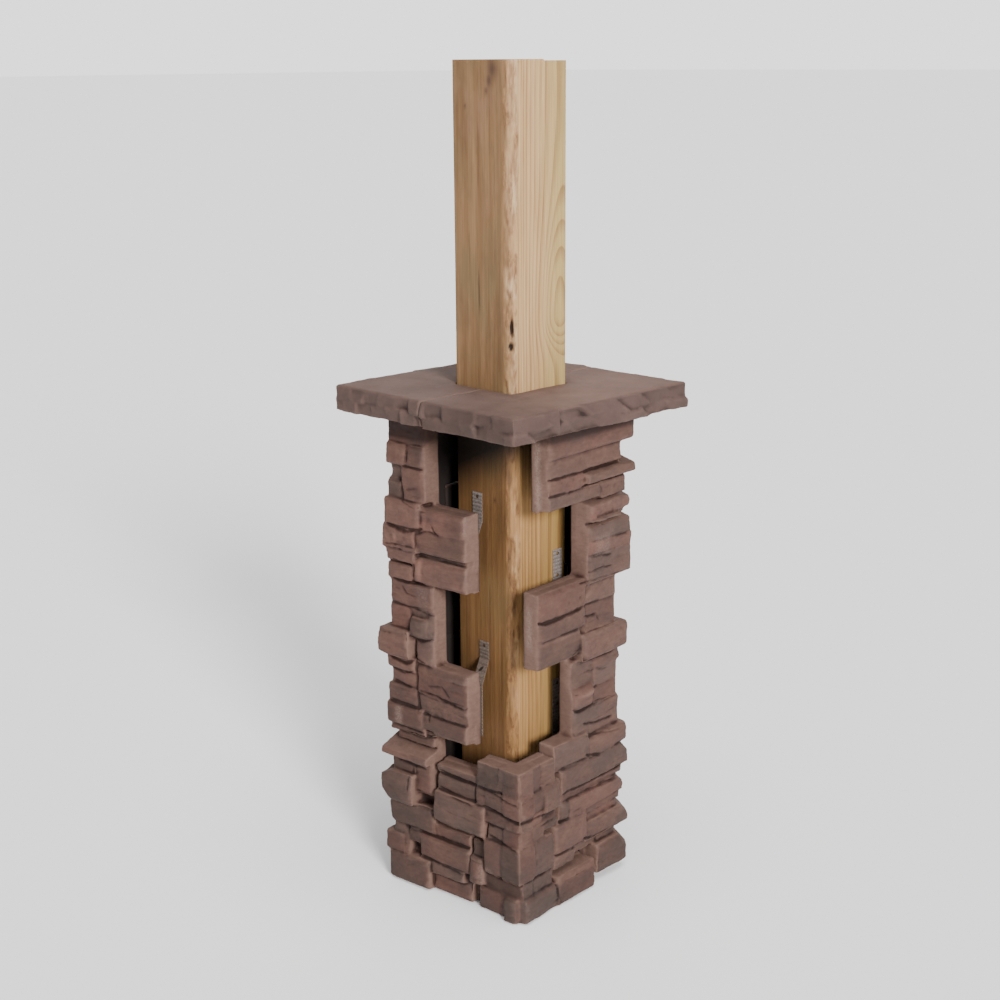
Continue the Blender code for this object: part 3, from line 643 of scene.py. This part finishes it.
# Centre of the growth rings, and a knot near the east face: its height, its place in Y and its swelling
PITH = (-45.0, 60.0)
KNOT_HEIGHT, KNOT_Y, KNOT_SWELL = 1085.0, 50.0, 22.0
# Spacing of the rows of points, and columns in each stretch of the outline
ROW_STEP = 4.0
SOUTH_COLUMNS, WANE_COLUMNS, EAST_COLUMNS, HIDDEN_COLUMNS, EASE_COLUMNS = 48, 18, 48, 22, 3
# Points further out than this lie on a sawn face
SAWN_FROM = 69.0
# Sizes of the rings that close both ends
END_RINGS = (0.97, 0.9, 0.8, 0.66, 0.5, 0.34, 0.18, 0.06)
SAW_STEP = 2.4
# Pockets in the wane: height, place across the wane from 0 to 1, half height, half width, depth
POCKETS = [(1074, 0.56, 13, 0.12, 6.0), (1041, 0.48, 6, 0.16, 5.0), (1128, 0.42, 7, 0.10, 0.8),
           (806, 0.35, 16, 0.20, 0.9), (655, 0.30, 34, 0.16, 0.8), (560, 0.62, 16, 0.14, 0.9),
           (470, 0.45, 30, 0.13, 0.7), (402, 0.55, 15, 0.12, 0.9)]
# Drying cracks in the south face: x, from height, to height, depth
CHECKS = [(-8.0, 1432, 1296, 0.8), (-8.6, 1182, 1076, 1.3), (31.0, 1392, 1262, 0.5), (-31.0, 1250, 1122, 0.5),
          (-21.0, 742, 560, 0.9), (9.0, 610, 396, 0.8), (38.0, 530, 362, 0.7)]
# Dark marks on the south face: x, height, half width, half height
STAINS = [(28.0, 1508.0, 11.0, 16.0), (13.3, 1473.0, 4.0, 6.4), (-38.0, 1447.0, 2.4, 3.84),
          (20.0, 1490.0, 7.0, 11.2), (26.7, 760.0, 3.0, 4.8)]


def section(z):
    """The post's outline at a height, in mm, and for each point the place across the wane or -1."""
    t = z / POST_HEIGHT
    h, e = POST_HALF, POST_EASE
    left = POST_WANE + POST_SWING * math.sin(9.0 * t + 0.6)
    right = POST_WANE + POST_SWING * math.sin(13.0 * t + 2.1)
    bulge = 0.32 * (left + right) / 2.0
    points = []
    wane = []

    def straight(a, b, count):
        for k in range(count):
            s = k / count
            points.append((a[0] + (b[0] - a[0]) * s, a[1] + (b[1] - a[1]) * s))
            wane.append(-1.0)

    def ease(cx, cy, start):
        for k in range(EASE_COLUMNS):
            angle = math.radians(start + 90.0 * k / EASE_COLUMNS)
            points.append((cx + e * math.cos(angle), cy + e * math.sin(angle)))
            wane.append(-1.0)

    ease(-h + e, -h + e, 180.0)
    straight((-h + e, -h), (h - left, -h), SOUTH_COLUMNS)
    start, middle, end = (h - left, -h), (h - bulge, -h + bulge), (h, -h + right)
    knee = [2.0 * middle[i] - (start[i] + end[i]) / 2.0 for i in (0, 1)]
    for k in range(WANE_COLUMNS):
        s = k / WANE_COLUMNS
        shares = ((1 - s) ** 2, 2 * s * (1 - s), s * s)
        points.append(tuple(shares[0] * start[i] + shares[1] * knee[i] + shares[2] * end[i] for i in (0, 1)))
        wane.append(s)
    straight(end, (h, h - e), EAST_COLUMNS)
    ease(h - e, h - e, 0.0)
    straight((h - e, h), (-h + e, h), HIDDEN_COLUMNS)
    ease(-h + e, h - e, 90.0)
    straight((-h, h - e), (-h, -h + e), HIDDEN_COLUMNS)
    return points, wane


def dress_post(name, node, material):
    """The sawn post: grain, drying cracks, a rough wane with its pockets, a stepped saw cut on top."""
    rows = int(round(POST_HEIGHT / ROW_STEP)) + 1
    levels = np.linspace(0.0, POST_HEIGHT, rows)
    rings = [section(z) for z in levels]
    wide = len(rings[0][0])
    co = np.array([[(x, y, z) for x, y in ring[0]] for ring, z in zip(rings, levels)]).reshape(-1, 3)
    wane = np.array([ring[1] for ring in rings]).ravel()
    turn = np.array(rings[rows // 2][0])
    ahead, behind = np.roll(turn, -1, axis=0), np.roll(turn, 1, axis=0)
    normal = np.stack([(ahead - behind)[:, 1], -(ahead - behind)[:, 0]], axis=1)
    normal /= np.linalg.norm(normal, axis=1)[:, None]
    normals = np.tile(np.column_stack([normal, np.zeros(wide)]), (rows, 1))
    x, y, z = co.T
    # growth rings seen from their centre, swelling round a knot that lies inside near the east face
    ring = np.hypot(x - PITH[0], y - PITH[1])
    tall = np.where(z > KNOT_HEIGHT, 150.0, 50.0)
    round_knot = np.exp(-((z - KNOT_HEIGHT) / tall) ** 2 - ((y - KNOT_Y) / 46.0) ** 2)
    ring -= KNOT_SWELL * round_knot * step(20.0, 60.0, x)
    broad = 2.6 * noise(co, (120.0, 120.0, 330.0), 101)
    ring += 0.0035 * z + broad + 0.9 * noise(co, (40.0, 40.0, 120.0), 102)
    ring += 2.4 * noise(np.stack([ring, ring * 0.0, ring * 0.0], axis=1), 11.0, 109)
    on_wane = wane >= 0.0
    edge = np.where(on_wane, step(0.0, 0.12, wane) * step(0.0, 0.12, 1.0 - wane), 0.0)
    bark = step(0.05, 0.6, layered_noise(co, (9.0, 9.0, 34.0), 103, 3) + 0.12 * (z < 880.0))
    push = edge * (1.3 * layered_noise(co, (7.0, 7.0, 22.0), 104, 3) + 1.4 * bark - 1.0)
    cut = np.zeros(len(co))
    for height, place, half, spread, deep in POCKETS:
        away = ((z - height) / half) ** 2 + ((wane - place) / spread) ** 2
        cut = np.where(on_wane, np.maximum(cut, deep * np.exp(-away ** 1.5)), cut)
    south = (y < -POST_HALF + 0.6) & ~on_wane
    for at, top, bottom, deep in CHECKS:
        course = at + 1.2 * noise(co * (0, 0, 1), 60.0, 105) + 0.5 * noise(co * (0, 0, 1), 14.0, 106)
        ends = step(0.0, 40.0, top - z) * step(0.0, 40.0, z - bottom)
        cut = np.where(south, np.maximum(cut, deep * ends * np.exp(-((x - course) / 1.9) ** 2)), cut)
    plain = ~on_wane & ((y < -SAWN_FROM) | (x > SAWN_FROM))
    grain = 0.16 * noise(co, (3.2, 3.2, 190.0), 107) + 0.2 * noise(co, (11.0, 11.0, 300.0), 108)
    push = push + np.where(plain, grain, 0.0) - cut
    body = co + normals * push[:, None]
    body[:, :2] = np.clip(body[:, :2], -POST_HALF, POST_HALF)
    verts = list(map(tuple, body * MM))
    faces = []
    for r in range(rows - 1):
        for c in range(wide):
            n = (c + 1) % wide
            faces.append((r * wide + c, r * wide + n, (r + 1) * wide + n, (r + 1) * wide + c))
    # both ends are closed by shrinking rings
    end_ring = []
    for outer, height, flip in (((rows - 1) * wide, POST_HEIGHT, False), (0, 0.0, True)):
        previous = list(range(outer, outer + wide))
        rim = body[outer:outer + wide]
        for scale in END_RINGS:
            start = len(verts)
            for px, py, _ in rim:
                verts.append((px * scale * MM, py * scale * MM, height * MM))
                end_ring.append(math.hypot(px * scale - PITH[0], py * scale - PITH[1]) + 5.0)
            current = list(range(start, start + wide))
            for c in range(wide):
                n = (c + 1) % wide
                quad = (previous[c], previous[n], current[n], current[c])
                faces.append(quad[::-1] if flip else quad)
            previous = current
        faces.append(tuple(previous[::-1]) if flip else tuple(previous))
    mesh = bpy.data.meshes.new(name)
    mesh.from_pydata(verts, [], faces)
    every = read(mesh.vertices, "co", 3)
    # the saw cut on top has a step towards its far east corner
    high = every[:, 2] > (POST_HEIGHT - 0.1) * MM
    drop = SAW_STEP * MM * step(11.0 * MM, 14.0 * MM, every[:, 1]) * step(-20.0 * MM, 20.0 * MM, every[:, 0])
    every[:, 2] = np.where(high, every[:, 2] - drop, every[:, 2])
    write_points(mesh, every)
    made = new_object(name, mesh)
    stain = np.zeros(len(co))
    for at, height, half_x, half_z in STAINS:
        spot = np.exp(-((x - at) / half_x) ** 2 - ((z - height) / half_z) ** 2)
        stain = np.maximum(stain, spot * (y < -60.0))
    brown_side = np.where(on_wane, step(0.6, 0.2, wane + 0.25 * noise(co, (40.0, 40.0, 60.0), 112)), south)
    # cream streaks toward the wane's east side: partly pale wood, partly a painted highlight
    cream = edge * step(0.05, 0.4, wane + 0.30 * noise(co, (40.0, 40.0, 55.0), 110) - 0.12)
    cream = cream * step(-0.45, 0.25, noise(co, (30.0, 30.0, 48.0), 111) + 0.5 * step(1340.0, 1420.0, z))
    set_attributes(mesh, ring=np.concatenate([ring, end_ring]))
    # hole: how deep the cracks and pockets are, painted darker in the material as painted shade
    looks = {"bark": edge * bark, "wane": edge * step(0.1, 0.55, wane), "hole": np.clip(cut / 2.2, 0.0, 1.0),
             "stain": stain, "south": brown_side, "cream": cream}
    at_ends = np.zeros(len(end_ring))
    set_attributes(mesh, **{key: np.concatenate([values, at_ends]) for key, values in looks.items()})
    mesh.shade_smooth()
    mesh.materials.append(material)
    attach(made, "root")
    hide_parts(node)


# Ties

# Spacing and half height of the ribs, how far they fade at each end, and the spacing of the mesh's rows
TIE_PITCH = 7.0 * MM
TIE_WAVE = 0.32 * MM
TIE_END = 4.0 * MM
TIE_STEP = 1.1 * MM


def dress_tie(name, node, on_south, material):
    """A punched metal strip with small ribs across it."""
    bm = bmesh.new()
    bm.from_mesh(NODES[node].data)
    bmesh.ops.triangulate(bm, faces=bm.faces)
    heights = [v.co.z for v in bm.verts]
    bottom, top = min(heights), max(heights)
    level = bottom + TIE_STEP
    while level < top:
        bmesh.ops.bisect_plane(bm, geom=bm.verts[:] + bm.edges[:] + bm.faces[:], dist=0.02 * MM,
                               plane_co=(0.0, 0.0, level), plane_no=(0.0, 0.0, 1.0))
        level += TIE_STEP
    for v in bm.verts:
        ends = min(1.0, (top - v.co.z) / TIE_END, (v.co.z - bottom) / TIE_END)
        wave = TIE_WAVE * (math.sin(2.0 * math.pi * v.co.z / TIE_PITCH) + 1.0) * ends
        if on_south:
            v.co.y -= wave
        else:
            v.co.x += wave
    mesh = bpy.data.meshes.new(name)
    bm.to_mesh(mesh)
    bm.free()
    made = new_object(name, mesh)
    height = read(mesh.vertices, "co", 3)[:, 2]
    set_attributes(mesh, rib=np.sin(2.0 * math.pi * height / TIE_PITCH))
    mesh.materials.append(material)
    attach(made, "root")
    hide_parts(node)


# Materials

# Share of a colour as seen that the surface itself has under this light
LIGHT_SCALE = 0.40
WOOD_SCALE = 0.57
# Scale of the finest noise, and mm from one growth ring to the next
FINE_GRAIN = 420.0
RING_WIDTH = 5.4


def linear(*levels):
    """A colour in sRGB levels, each over 10 and up to 255, in linear light."""
    return tuple(((level / 255.0 + 0.055) / 1.055) ** 2.4 for level in levels) + (1.0,)


def even(level):
    """A tint without hue."""
    return (level, level, level)


class Graph:
    """A short way to write the nodes of a material or of the world."""

    def __init__(self, tree):
        self.tree = tree

    def put(self, value, socket):
        if isinstance(value, bpy.types.NodeSocket):
            self.tree.links.new(value, socket)
        else:
            socket.default_value = value

    def node(self, kind, inputs=(), **settings):
        made = self.tree.nodes.new("ShaderNode" + kind)
        for key, value in settings.items():
            setattr(made, key, value)
        for key, value in dict(inputs).items():
            self.put(value, made.inputs[key])
        return made

    def math(self, operation, a, b=0.0):
        return self.node("Math", {0: a, 1: b}, operation=operation).outputs[0]

    def product(self, a, b):
        return self.math("MULTIPLY", a, b)

    def span(self, value, low, high, to_low=0.0, to_high=1.0, **settings):
        made = self.node("MapRange", {"Value": value, "From Min": low, "From Max": high,
                                      "To Min": to_low, "To Max": to_high}, **settings)
        return made.outputs["Result"]

    def axes(self, vector):
        return self.node("SeparateXYZ", {0: vector}).outputs


class Coat(Graph):
    """A material, painted by place on the object and by the numbers of its points."""

    def __init__(self, name, roughness, specular, metallic=0.0):
        self.material = bpy.data.materials.new(name)
        self.material.use_nodes = True
        super().__init__(self.material.node_tree)
        self.shader = self.tree.nodes["Principled BSDF"]
        self.link(roughness, "Roughness")
        self.link(specular, "Specular IOR Level")
        self.link(metallic, "Metallic")
        self.place = self.node("TexCoord").outputs["Object"]
        self.colour = (1.0, 1.0, 1.0, 1.0)

    def link(self, value, key):
        self.put(value, self.shader.inputs[key])

    def noise(self, scale, detail, rough, stretch=1.0):
        """A pattern by place on the object, level where the stretch is above 1 and upright below it."""
        where = self.place
        if stretch != 1.0:
            where = self.node("Mapping", {"Vector": where, "Scale": (1.0, 1.0, stretch)}).outputs[0]
        inputs = {"Vector": where, "Scale": scale, "Detail": detail, "Roughness": rough}
        return self.node("TexNoise", inputs).outputs["Fac"]

    def attribute(self, name):
        return self.node("Attribute", attribute_name=name).outputs["Fac"]

    def mix(self, share, a, b, blend="MIX"):
        inputs = {0: share, 6: a, 7: b}
        return self.node("Mix", inputs, data_type="RGBA", blend_type=blend).outputs[2]

    def toward(self, colour, share):
        """Bring the coat's colour toward another by a share."""
        self.colour = self.mix(share, self.colour, colour)

    def tint(self, tint, share=None):
        """Multiply the coat's colour by a tint, all over or by a share."""
        whole = self.mix(1.0, self.colour, tint + (1.0,), "MULTIPLY")
        self.colour = whole if share is None else self.mix(share, self.colour, whole)

    def vary(self, value, low, high, dark, light):
        """Multiply the coat's colour by one tint where the value is low and by another where it is high."""
        tint = self.mix(self.span(value, low, high), dark + (1.0,), light + (1.0,))
        self.colour = self.mix(1.0, self.colour, tint, "MULTIPLY")

    def finish(self, roughness, height, distance, strength):
        bump = self.node("Bump", {"Height": height, "Distance": distance, "Strength": strength})
        self.link(self.colour, "Base Color")
        self.link(roughness, "Roughness")
        self.link(bump.outputs["Normal"], "Normal")
        return self.material


def stone_material():
    g = Coat("stone_coating", 0.82, 0.3)
    swirl = g.noise(7.0, 2.0, 0.5)
    shade = g.math("ADD", g.product(g.attribute("hue"), 0.35), g.product(swirl, 0.65))
    g.colour = g.mix(g.span(shade, 0.5, 0.75), linear(122, 92, 81), linear(114, 93, 84))
    g.toward(linear(136, 97, 85), g.span(shade, 0.5, 0.28))
    patch = g.noise(16.0, 4.0, 0.55, 1.5)
    g.toward(linear(98, 78, 71), g.span(patch, 0.5, 0.72, 0.0, 0.6))
    g.toward(linear(148, 115, 101), g.span(patch, 0.5, 0.27, 0.0, 0.55))
    # each stone's own tone, with the painted shade toward the ground in it
    g.vary(g.attribute("tone"), -0.6, 1.1, (0.52, 0.51, 0.50), (1.16, 1.15, 1.14))
    g.tint((0.68, 0.70, 0.72), g.product(g.attribute("dull"), 0.75))
    # pale patches, many of them painted highlights on top facets and swellings
    g.tint((1.55, 1.57, 1.58), g.product(g.attribute("pale"), 0.75))
    broad = g.noise(9.0, 4.0, 0.6)
    wall = g.mix(g.span(broad, 0.3, 0.7), linear(152, 120, 106), linear(138, 108, 95))
    g.colour = g.mix(g.attribute("face"), wall, g.colour)
    streak = g.noise(30.0, 4.0, 0.6, 9.0)
    g.vary(streak, 0.25, 0.75, even(0.92), even(1.07))
    mottle = g.noise(75.0, 4.0, 0.65, 1.6)
    g.vary(mottle, 0.3, 0.7, (0.86, 0.85, 0.85), (1.12, 1.13, 1.13))
    fine = g.noise(FINE_GRAIN, 3.0, 0.7)
    g.vary(fine, 0.2, 0.8, even(0.91), even(1.09))
    # painted shade in hollows, cracks and joints, and a painted highlight on ridges
    crevice = g.attribute("crevice")
    g.tint((0.24, 0.15, 0.12), g.span(crevice, 0.06, 0.75))
    g.toward(linear(176, 148, 134), g.span(crevice, -0.3, -0.9, 0.0, 0.16))
    # inner faces painted nearly black: painted shade
    g.toward(linear(48, 38, 34), g.attribute("inside"))
    # painted shade of the cap: the band just under it is painted darker
    g.tint((0.34, 0.29, 0.28), g.attribute("grime"))
    grit = g.span(g.noise(380.0, 3.0, 0.7), 0.44, 0.62, 0.22, 0.72)
    g.toward(linear(216, 190, 176), g.product(g.attribute("grain"), grit))
    g.tint((1.08 * LIGHT_SCALE, 1.03 * LIGHT_SCALE, 1.03 * LIGHT_SCALE))
    relief = g.math("ADD", g.product(fine, 0.5), g.product(streak, 0.8))
    return g.finish(g.span(patch, 0.3, 0.7, 0.9, 0.72), relief, 0.0007, 0.5)


def cap_material():
    g = Coat("cap_coating", 0.82, 0.3)
    broad = g.noise(7.0, 4.0, 0.6)
    patch = g.noise(30.0, 5.0, 0.62)
    # the top is painted paler toward its right rear corner, a painted pool of light, and browner round the
    # post, partly a stain and partly painted shade
    g.colour = g.mix(g.span(broad, 0.35, 0.65), linear(158, 131, 121), linear(136, 111, 102))
    x, y, _ = g.axes(g.place)
    g.tint((1.34, 1.30, 1.26), g.span(g.math("ADD", x, y), 0.04, 0.2, 0.0, 0.85))
    near_post = g.math("MAXIMUM", g.math("ABSOLUTE", x), g.math("ABSOLUTE", y))
    g.toward(linear(112, 84, 68), g.span(near_post, 0.073, 0.105, 0.45, 0.0))
    edge = g.mix(g.span(broad, 0.35, 0.65), linear(126, 102, 94), linear(106, 85, 79))
    g.toward(edge, g.attribute("rim"))
    g.toward(linear(104, 86, 81), g.span(patch, 0.5, 0.75, 0.0, 0.45))
    fine = g.noise(FINE_GRAIN, 3.0, 0.7)
    g.vary(fine, 0.2, 0.8, even(0.88), even(1.12))
    # painted shade in hollows, and a painted highlight on ridges
    crevice = g.attribute("crevice")
    g.tint((0.36, 0.31, 0.30), g.span(crevice, 0.08, 0.8))
    g.toward(linear(170, 144, 132), g.span(crevice, -0.2, -0.9, 0.0, 0.15))
    g.tint((LIGHT_SCALE, 0.93 * LIGHT_SCALE, 0.90 * LIGHT_SCALE))
    relief = g.math("ADD", g.product(fine, 0.5), g.product(patch, 1.4))
    return g.finish(g.span(patch, 0.3, 0.7, 0.88, 0.72), relief, 0.0009, 0.5)


def wood_material():
    g = Coat("pine", 0.7, 0.3)
    x, y, z = g.axes(g.place)
    south = g.attribute("south")
    turn = g.math("FRACT", g.math("DIVIDE", g.attribute("ring"), RING_WIDTH))
    late = g.product(g.span(turn, 0.4, 0.93), g.span(turn, 1.0, 0.95))
    fibre = g.noise(520.0, 3.0, 0.6, 0.02)
    band = g.noise(90.0, 3.0, 0.6, 0.035)
    # the south face is browner, the east face pale
    g.colour = g.mix(g.span(band, 0.3, 0.7), linear(180, 140, 98), linear(148, 110, 72))
    blotch = g.noise(22.0, 4.0, 0.6, 0.3)
    g.toward(linear(128, 98, 66), g.span(blotch, 0.5, 0.7, 0.0, 0.7))
    cloud = g.noise(13.0, 3.0, 0.55, 0.45)
    g.toward(linear(150, 126, 86), g.span(cloud, 0.5, 0.62, 0.0, 0.6))
    g.toward(linear(176, 134, 104), g.span(cloud, 0.45, 0.33, 0.0, 0.6))
    pale = g.mix(g.span(band, 0.3, 0.7), linear(232, 190, 138), linear(214, 170, 114))
    g.colour = g.mix(south, pale, g.colour)
    greenish = g.product(g.span(y, -0.01, 0.05), g.math("SUBTRACT", 0.75, g.product(south, 0.75)))
    g.toward(linear(204, 176, 110), greenish)
    rings = g.product(late, g.span(band, 0.35, 0.6, 0.25, 0.6))
    rings = g.product(rings, g.math("SUBTRACT", 1.0, g.product(south, 0.5)))
    g.toward(linear(140, 98, 58), rings)
    # the wane, with cream streaks and flakes of bark; the cream streaks are partly pale wood and partly a
    # painted highlight
    g.toward(linear(196, 150, 106), g.product(g.attribute("wane"), 0.5))
    streak = g.noise(110.0, 4.0, 0.6, 0.22)
    cream = g.mix(g.span(streak, 0.4, 0.62), linear(222, 184, 140), linear(176, 134, 94))
    g.toward(cream, g.attribute("cream"))
    flake = g.noise(240.0, 4.0, 0.65, 0.35)
    bark = g.mix(g.span(flake, 0.4, 0.6), linear(136, 96, 64), linear(186, 142, 98))
    g.toward(bark, g.product(g.attribute("bark"), 0.8))
    g.toward(linear(84, 60, 52), g.product(g.attribute("stain"), 0.75))
    g.vary(fibre, 0.25, 0.75, (0.78, 0.77, 0.76), even(1.14))
    # inside the wrap the wood is painted warmer and browner, standing in for light bounced off the brown
    # stones, and painted nearly black just under the cap, a painted shadow of the cap
    inside = g.span(z, 0.93, 0.90)
    g.tint((0.74, 0.65, 0.51), inside)
    reach = g.math("SUBTRACT", z, g.product(x, 0.45))
    g.tint((0.05, 0.04, 0.035), g.product(inside, g.span(reach, 0.765, 0.845)))
    # painted shade in the drying cracks and pockets, deeper ones darker
    g.toward(linear(48, 30, 20), g.attribute("hole"))
    g.tint(even(WOOD_SCALE))
    relief = g.math("ADD", g.product(fibre, 0.6), g.product(late, 0.5))
    return g.finish(g.span(fibre, 0.2, 0.8, 0.62, 0.8), relief, 0.0005, 0.5)


# Nail holes of the ties as (on the south face, place along the face, height), in millimetres
NAIL_HOLES = [(True, -17.0, 760.0), (True, -3.0, 478.0), (True, 10.0, 441.0), (False, 47.0, 645.0),
              (False, 47.0, 603.0), (False, 47.0, 392.0), (False, 47.0, 350.0)]
# Distance from the middle of a hole within which the dark ring is full, and where it ends
HOLE_DARK, HOLE_CLEAR = 2.6 * MM, 3.8 * MM


def tie_material(name, tint):
    g = Coat(name, 0.55, 0.5, 0.35)
    spangle = g.noise(300.0, 3.0, 0.6)
    g.colour = g.mix(g.span(spangle, 0.35, 0.65), linear(152, 140, 134), linear(124, 112, 106))
    g.tint(tint)
    top_of_rib = g.colour
    # the troughs between the ribs are painted darker, a painted shade; the rib tops keep the full colour
    g.tint((0.74, 0.71, 0.69))
    g.toward(top_of_rib, g.span(g.attribute("rib"), -1.0, -0.3))
    x, y, z = g.axes(g.place)
    for on_south, along, height in NAIL_HOLES:
        aside = g.math("SUBTRACT", x if on_south else y, along * MM)
        above = g.math("SUBTRACT", z, height * MM)
        square = g.math("ADD", g.product(aside, aside), g.product(above, above))
        g.toward(linear(36, 28, 26), g.span(square, HOLE_DARK ** 2, HOLE_CLEAR ** 2, 0.92, 0.0))
    return g.finish(g.span(spangle, 0.3, 0.7, 0.4, 0.6), spangle, 0.0003, 0.4)


STONE = stone_material()
CAP = cap_material()
PINE = wood_material()
STEEL = tie_material("galvanised", (1.0, 1.0, 1.0))
STEEL_DULL = tie_material("galvanised_dull", (0.72, 0.66, 0.60))
dress_post("post_timber", "wood_post", PINE)
for tie, on_south, steel in (("upper_left", True, STEEL), ("lower_left", True, STEEL_DULL),
                             ("upper_right", False, STEEL), ("lower_right", False, STEEL)):
    dress_tie("metal_tie_" + tie, "tie_" + tie, on_south, steel)
for panel in ("left", "right", "back", "front_low"):
    dress_panel("stones_" + panel, "panel_" + panel, MOST_TRIANGLES[panel], STONE)
for half in ("left", "right"):
    dress_cap("cap_stone_" + half, "cap_half_" + half, CAP)


# Stage, light and camera

FLOOR_REACH = 150.0
FLOOR_LEVEL = -0.0005
# Strength of the world overhead, in a glow behind the object and from just above the horizon down,
# and the direction of the glow
WORLD_DIM = 0.30
WORLD_BRIGHT = 1.9
WORLD_HORIZON = 1.9
BEHIND = (-0.70, 0.71, 0.0)

floor_mesh = bpy.data.meshes.new("floor")
corners = [(x * FLOOR_REACH, y * FLOOR_REACH, FLOOR_LEVEL) for x, y in ((-1, -1), (1, -1), (1, 1), (-1, 1))]
floor_mesh.from_pydata(corners, [], [(0, 1, 2, 3)])
floor = new_object("floor", floor_mesh)
plain = Coat("pale_floor", 0.95, 0.0)
plain.link((0.94, 0.94, 0.94, 1.0), "Base Color")
floor_mesh.materials.append(plain.material)

world = bpy.data.worlds.new("studio")
bpy.context.scene.world = world
world.use_nodes = True
sky = Graph(world.node_tree)
background = sky.tree.nodes["Background"]
sky.put((1.0, 1.0, 1.0, 1.0), background.inputs["Color"])
ray = sky.node("TexCoord").outputs["Generated"]
toward = sky.node("VectorMath", {0: ray, 1: BEHIND}, operation="DOT_PRODUCT").outputs["Value"]
glow = sky.span(toward, 0.7, 0.95, WORLD_DIM, WORLD_BRIGHT, interpolation_type="SMOOTHSTEP")
horizon = sky.span(sky.axes(ray)["Z"], 0.05, 0.13, WORLD_HORIZON, 0.0, interpolation_type="SMOOTHSTEP")
sky.put(sky.math("MAXIMUM", glow, horizon), background.inputs["Strength"])


def sun(name, azimuth, elevation, strength, spread):
    """A soft light from a direction in degrees; azimuth 0 is east and 270 south."""
    data = bpy.data.lights.new(name, "SUN")
    data.energy = strength
    data.angle = math.radians(spread)
    made = bpy.data.objects.new(name, data)
    a, e = math.radians(azimuth), math.radians(elevation)
    way = Vector((math.cos(e) * math.cos(a), math.cos(e) * math.sin(a), math.sin(e)))
    made.rotation_euler = way.to_track_quat("Z", "Y").to_euler()
    bpy.context.scene.collection.objects.link(made)


sun("key", azimuth=336.0, elevation=21.0, strength=5.6, spread=16.0)
sun("top", azimuth=330.0, elevation=76.0, strength=2.4, spread=45.0)

# The camera as it was fitted to the photograph
camera_data = bpy.data.cameras.new("camera")
camera_data.sensor_width = 36.0
camera_data.lens = 59.8553
camera_data.clip_end = 200.0
camera = bpy.data.objects.new("camera", camera_data)
camera.location = (2.060167, -2.107194, 1.527797)
camera.rotation_euler = [math.radians(a) for a in (75.076388, 0.406947, 44.657962)]
bpy.context.scene.collection.objects.link(camera)
bpy.context.scene.camera = camera
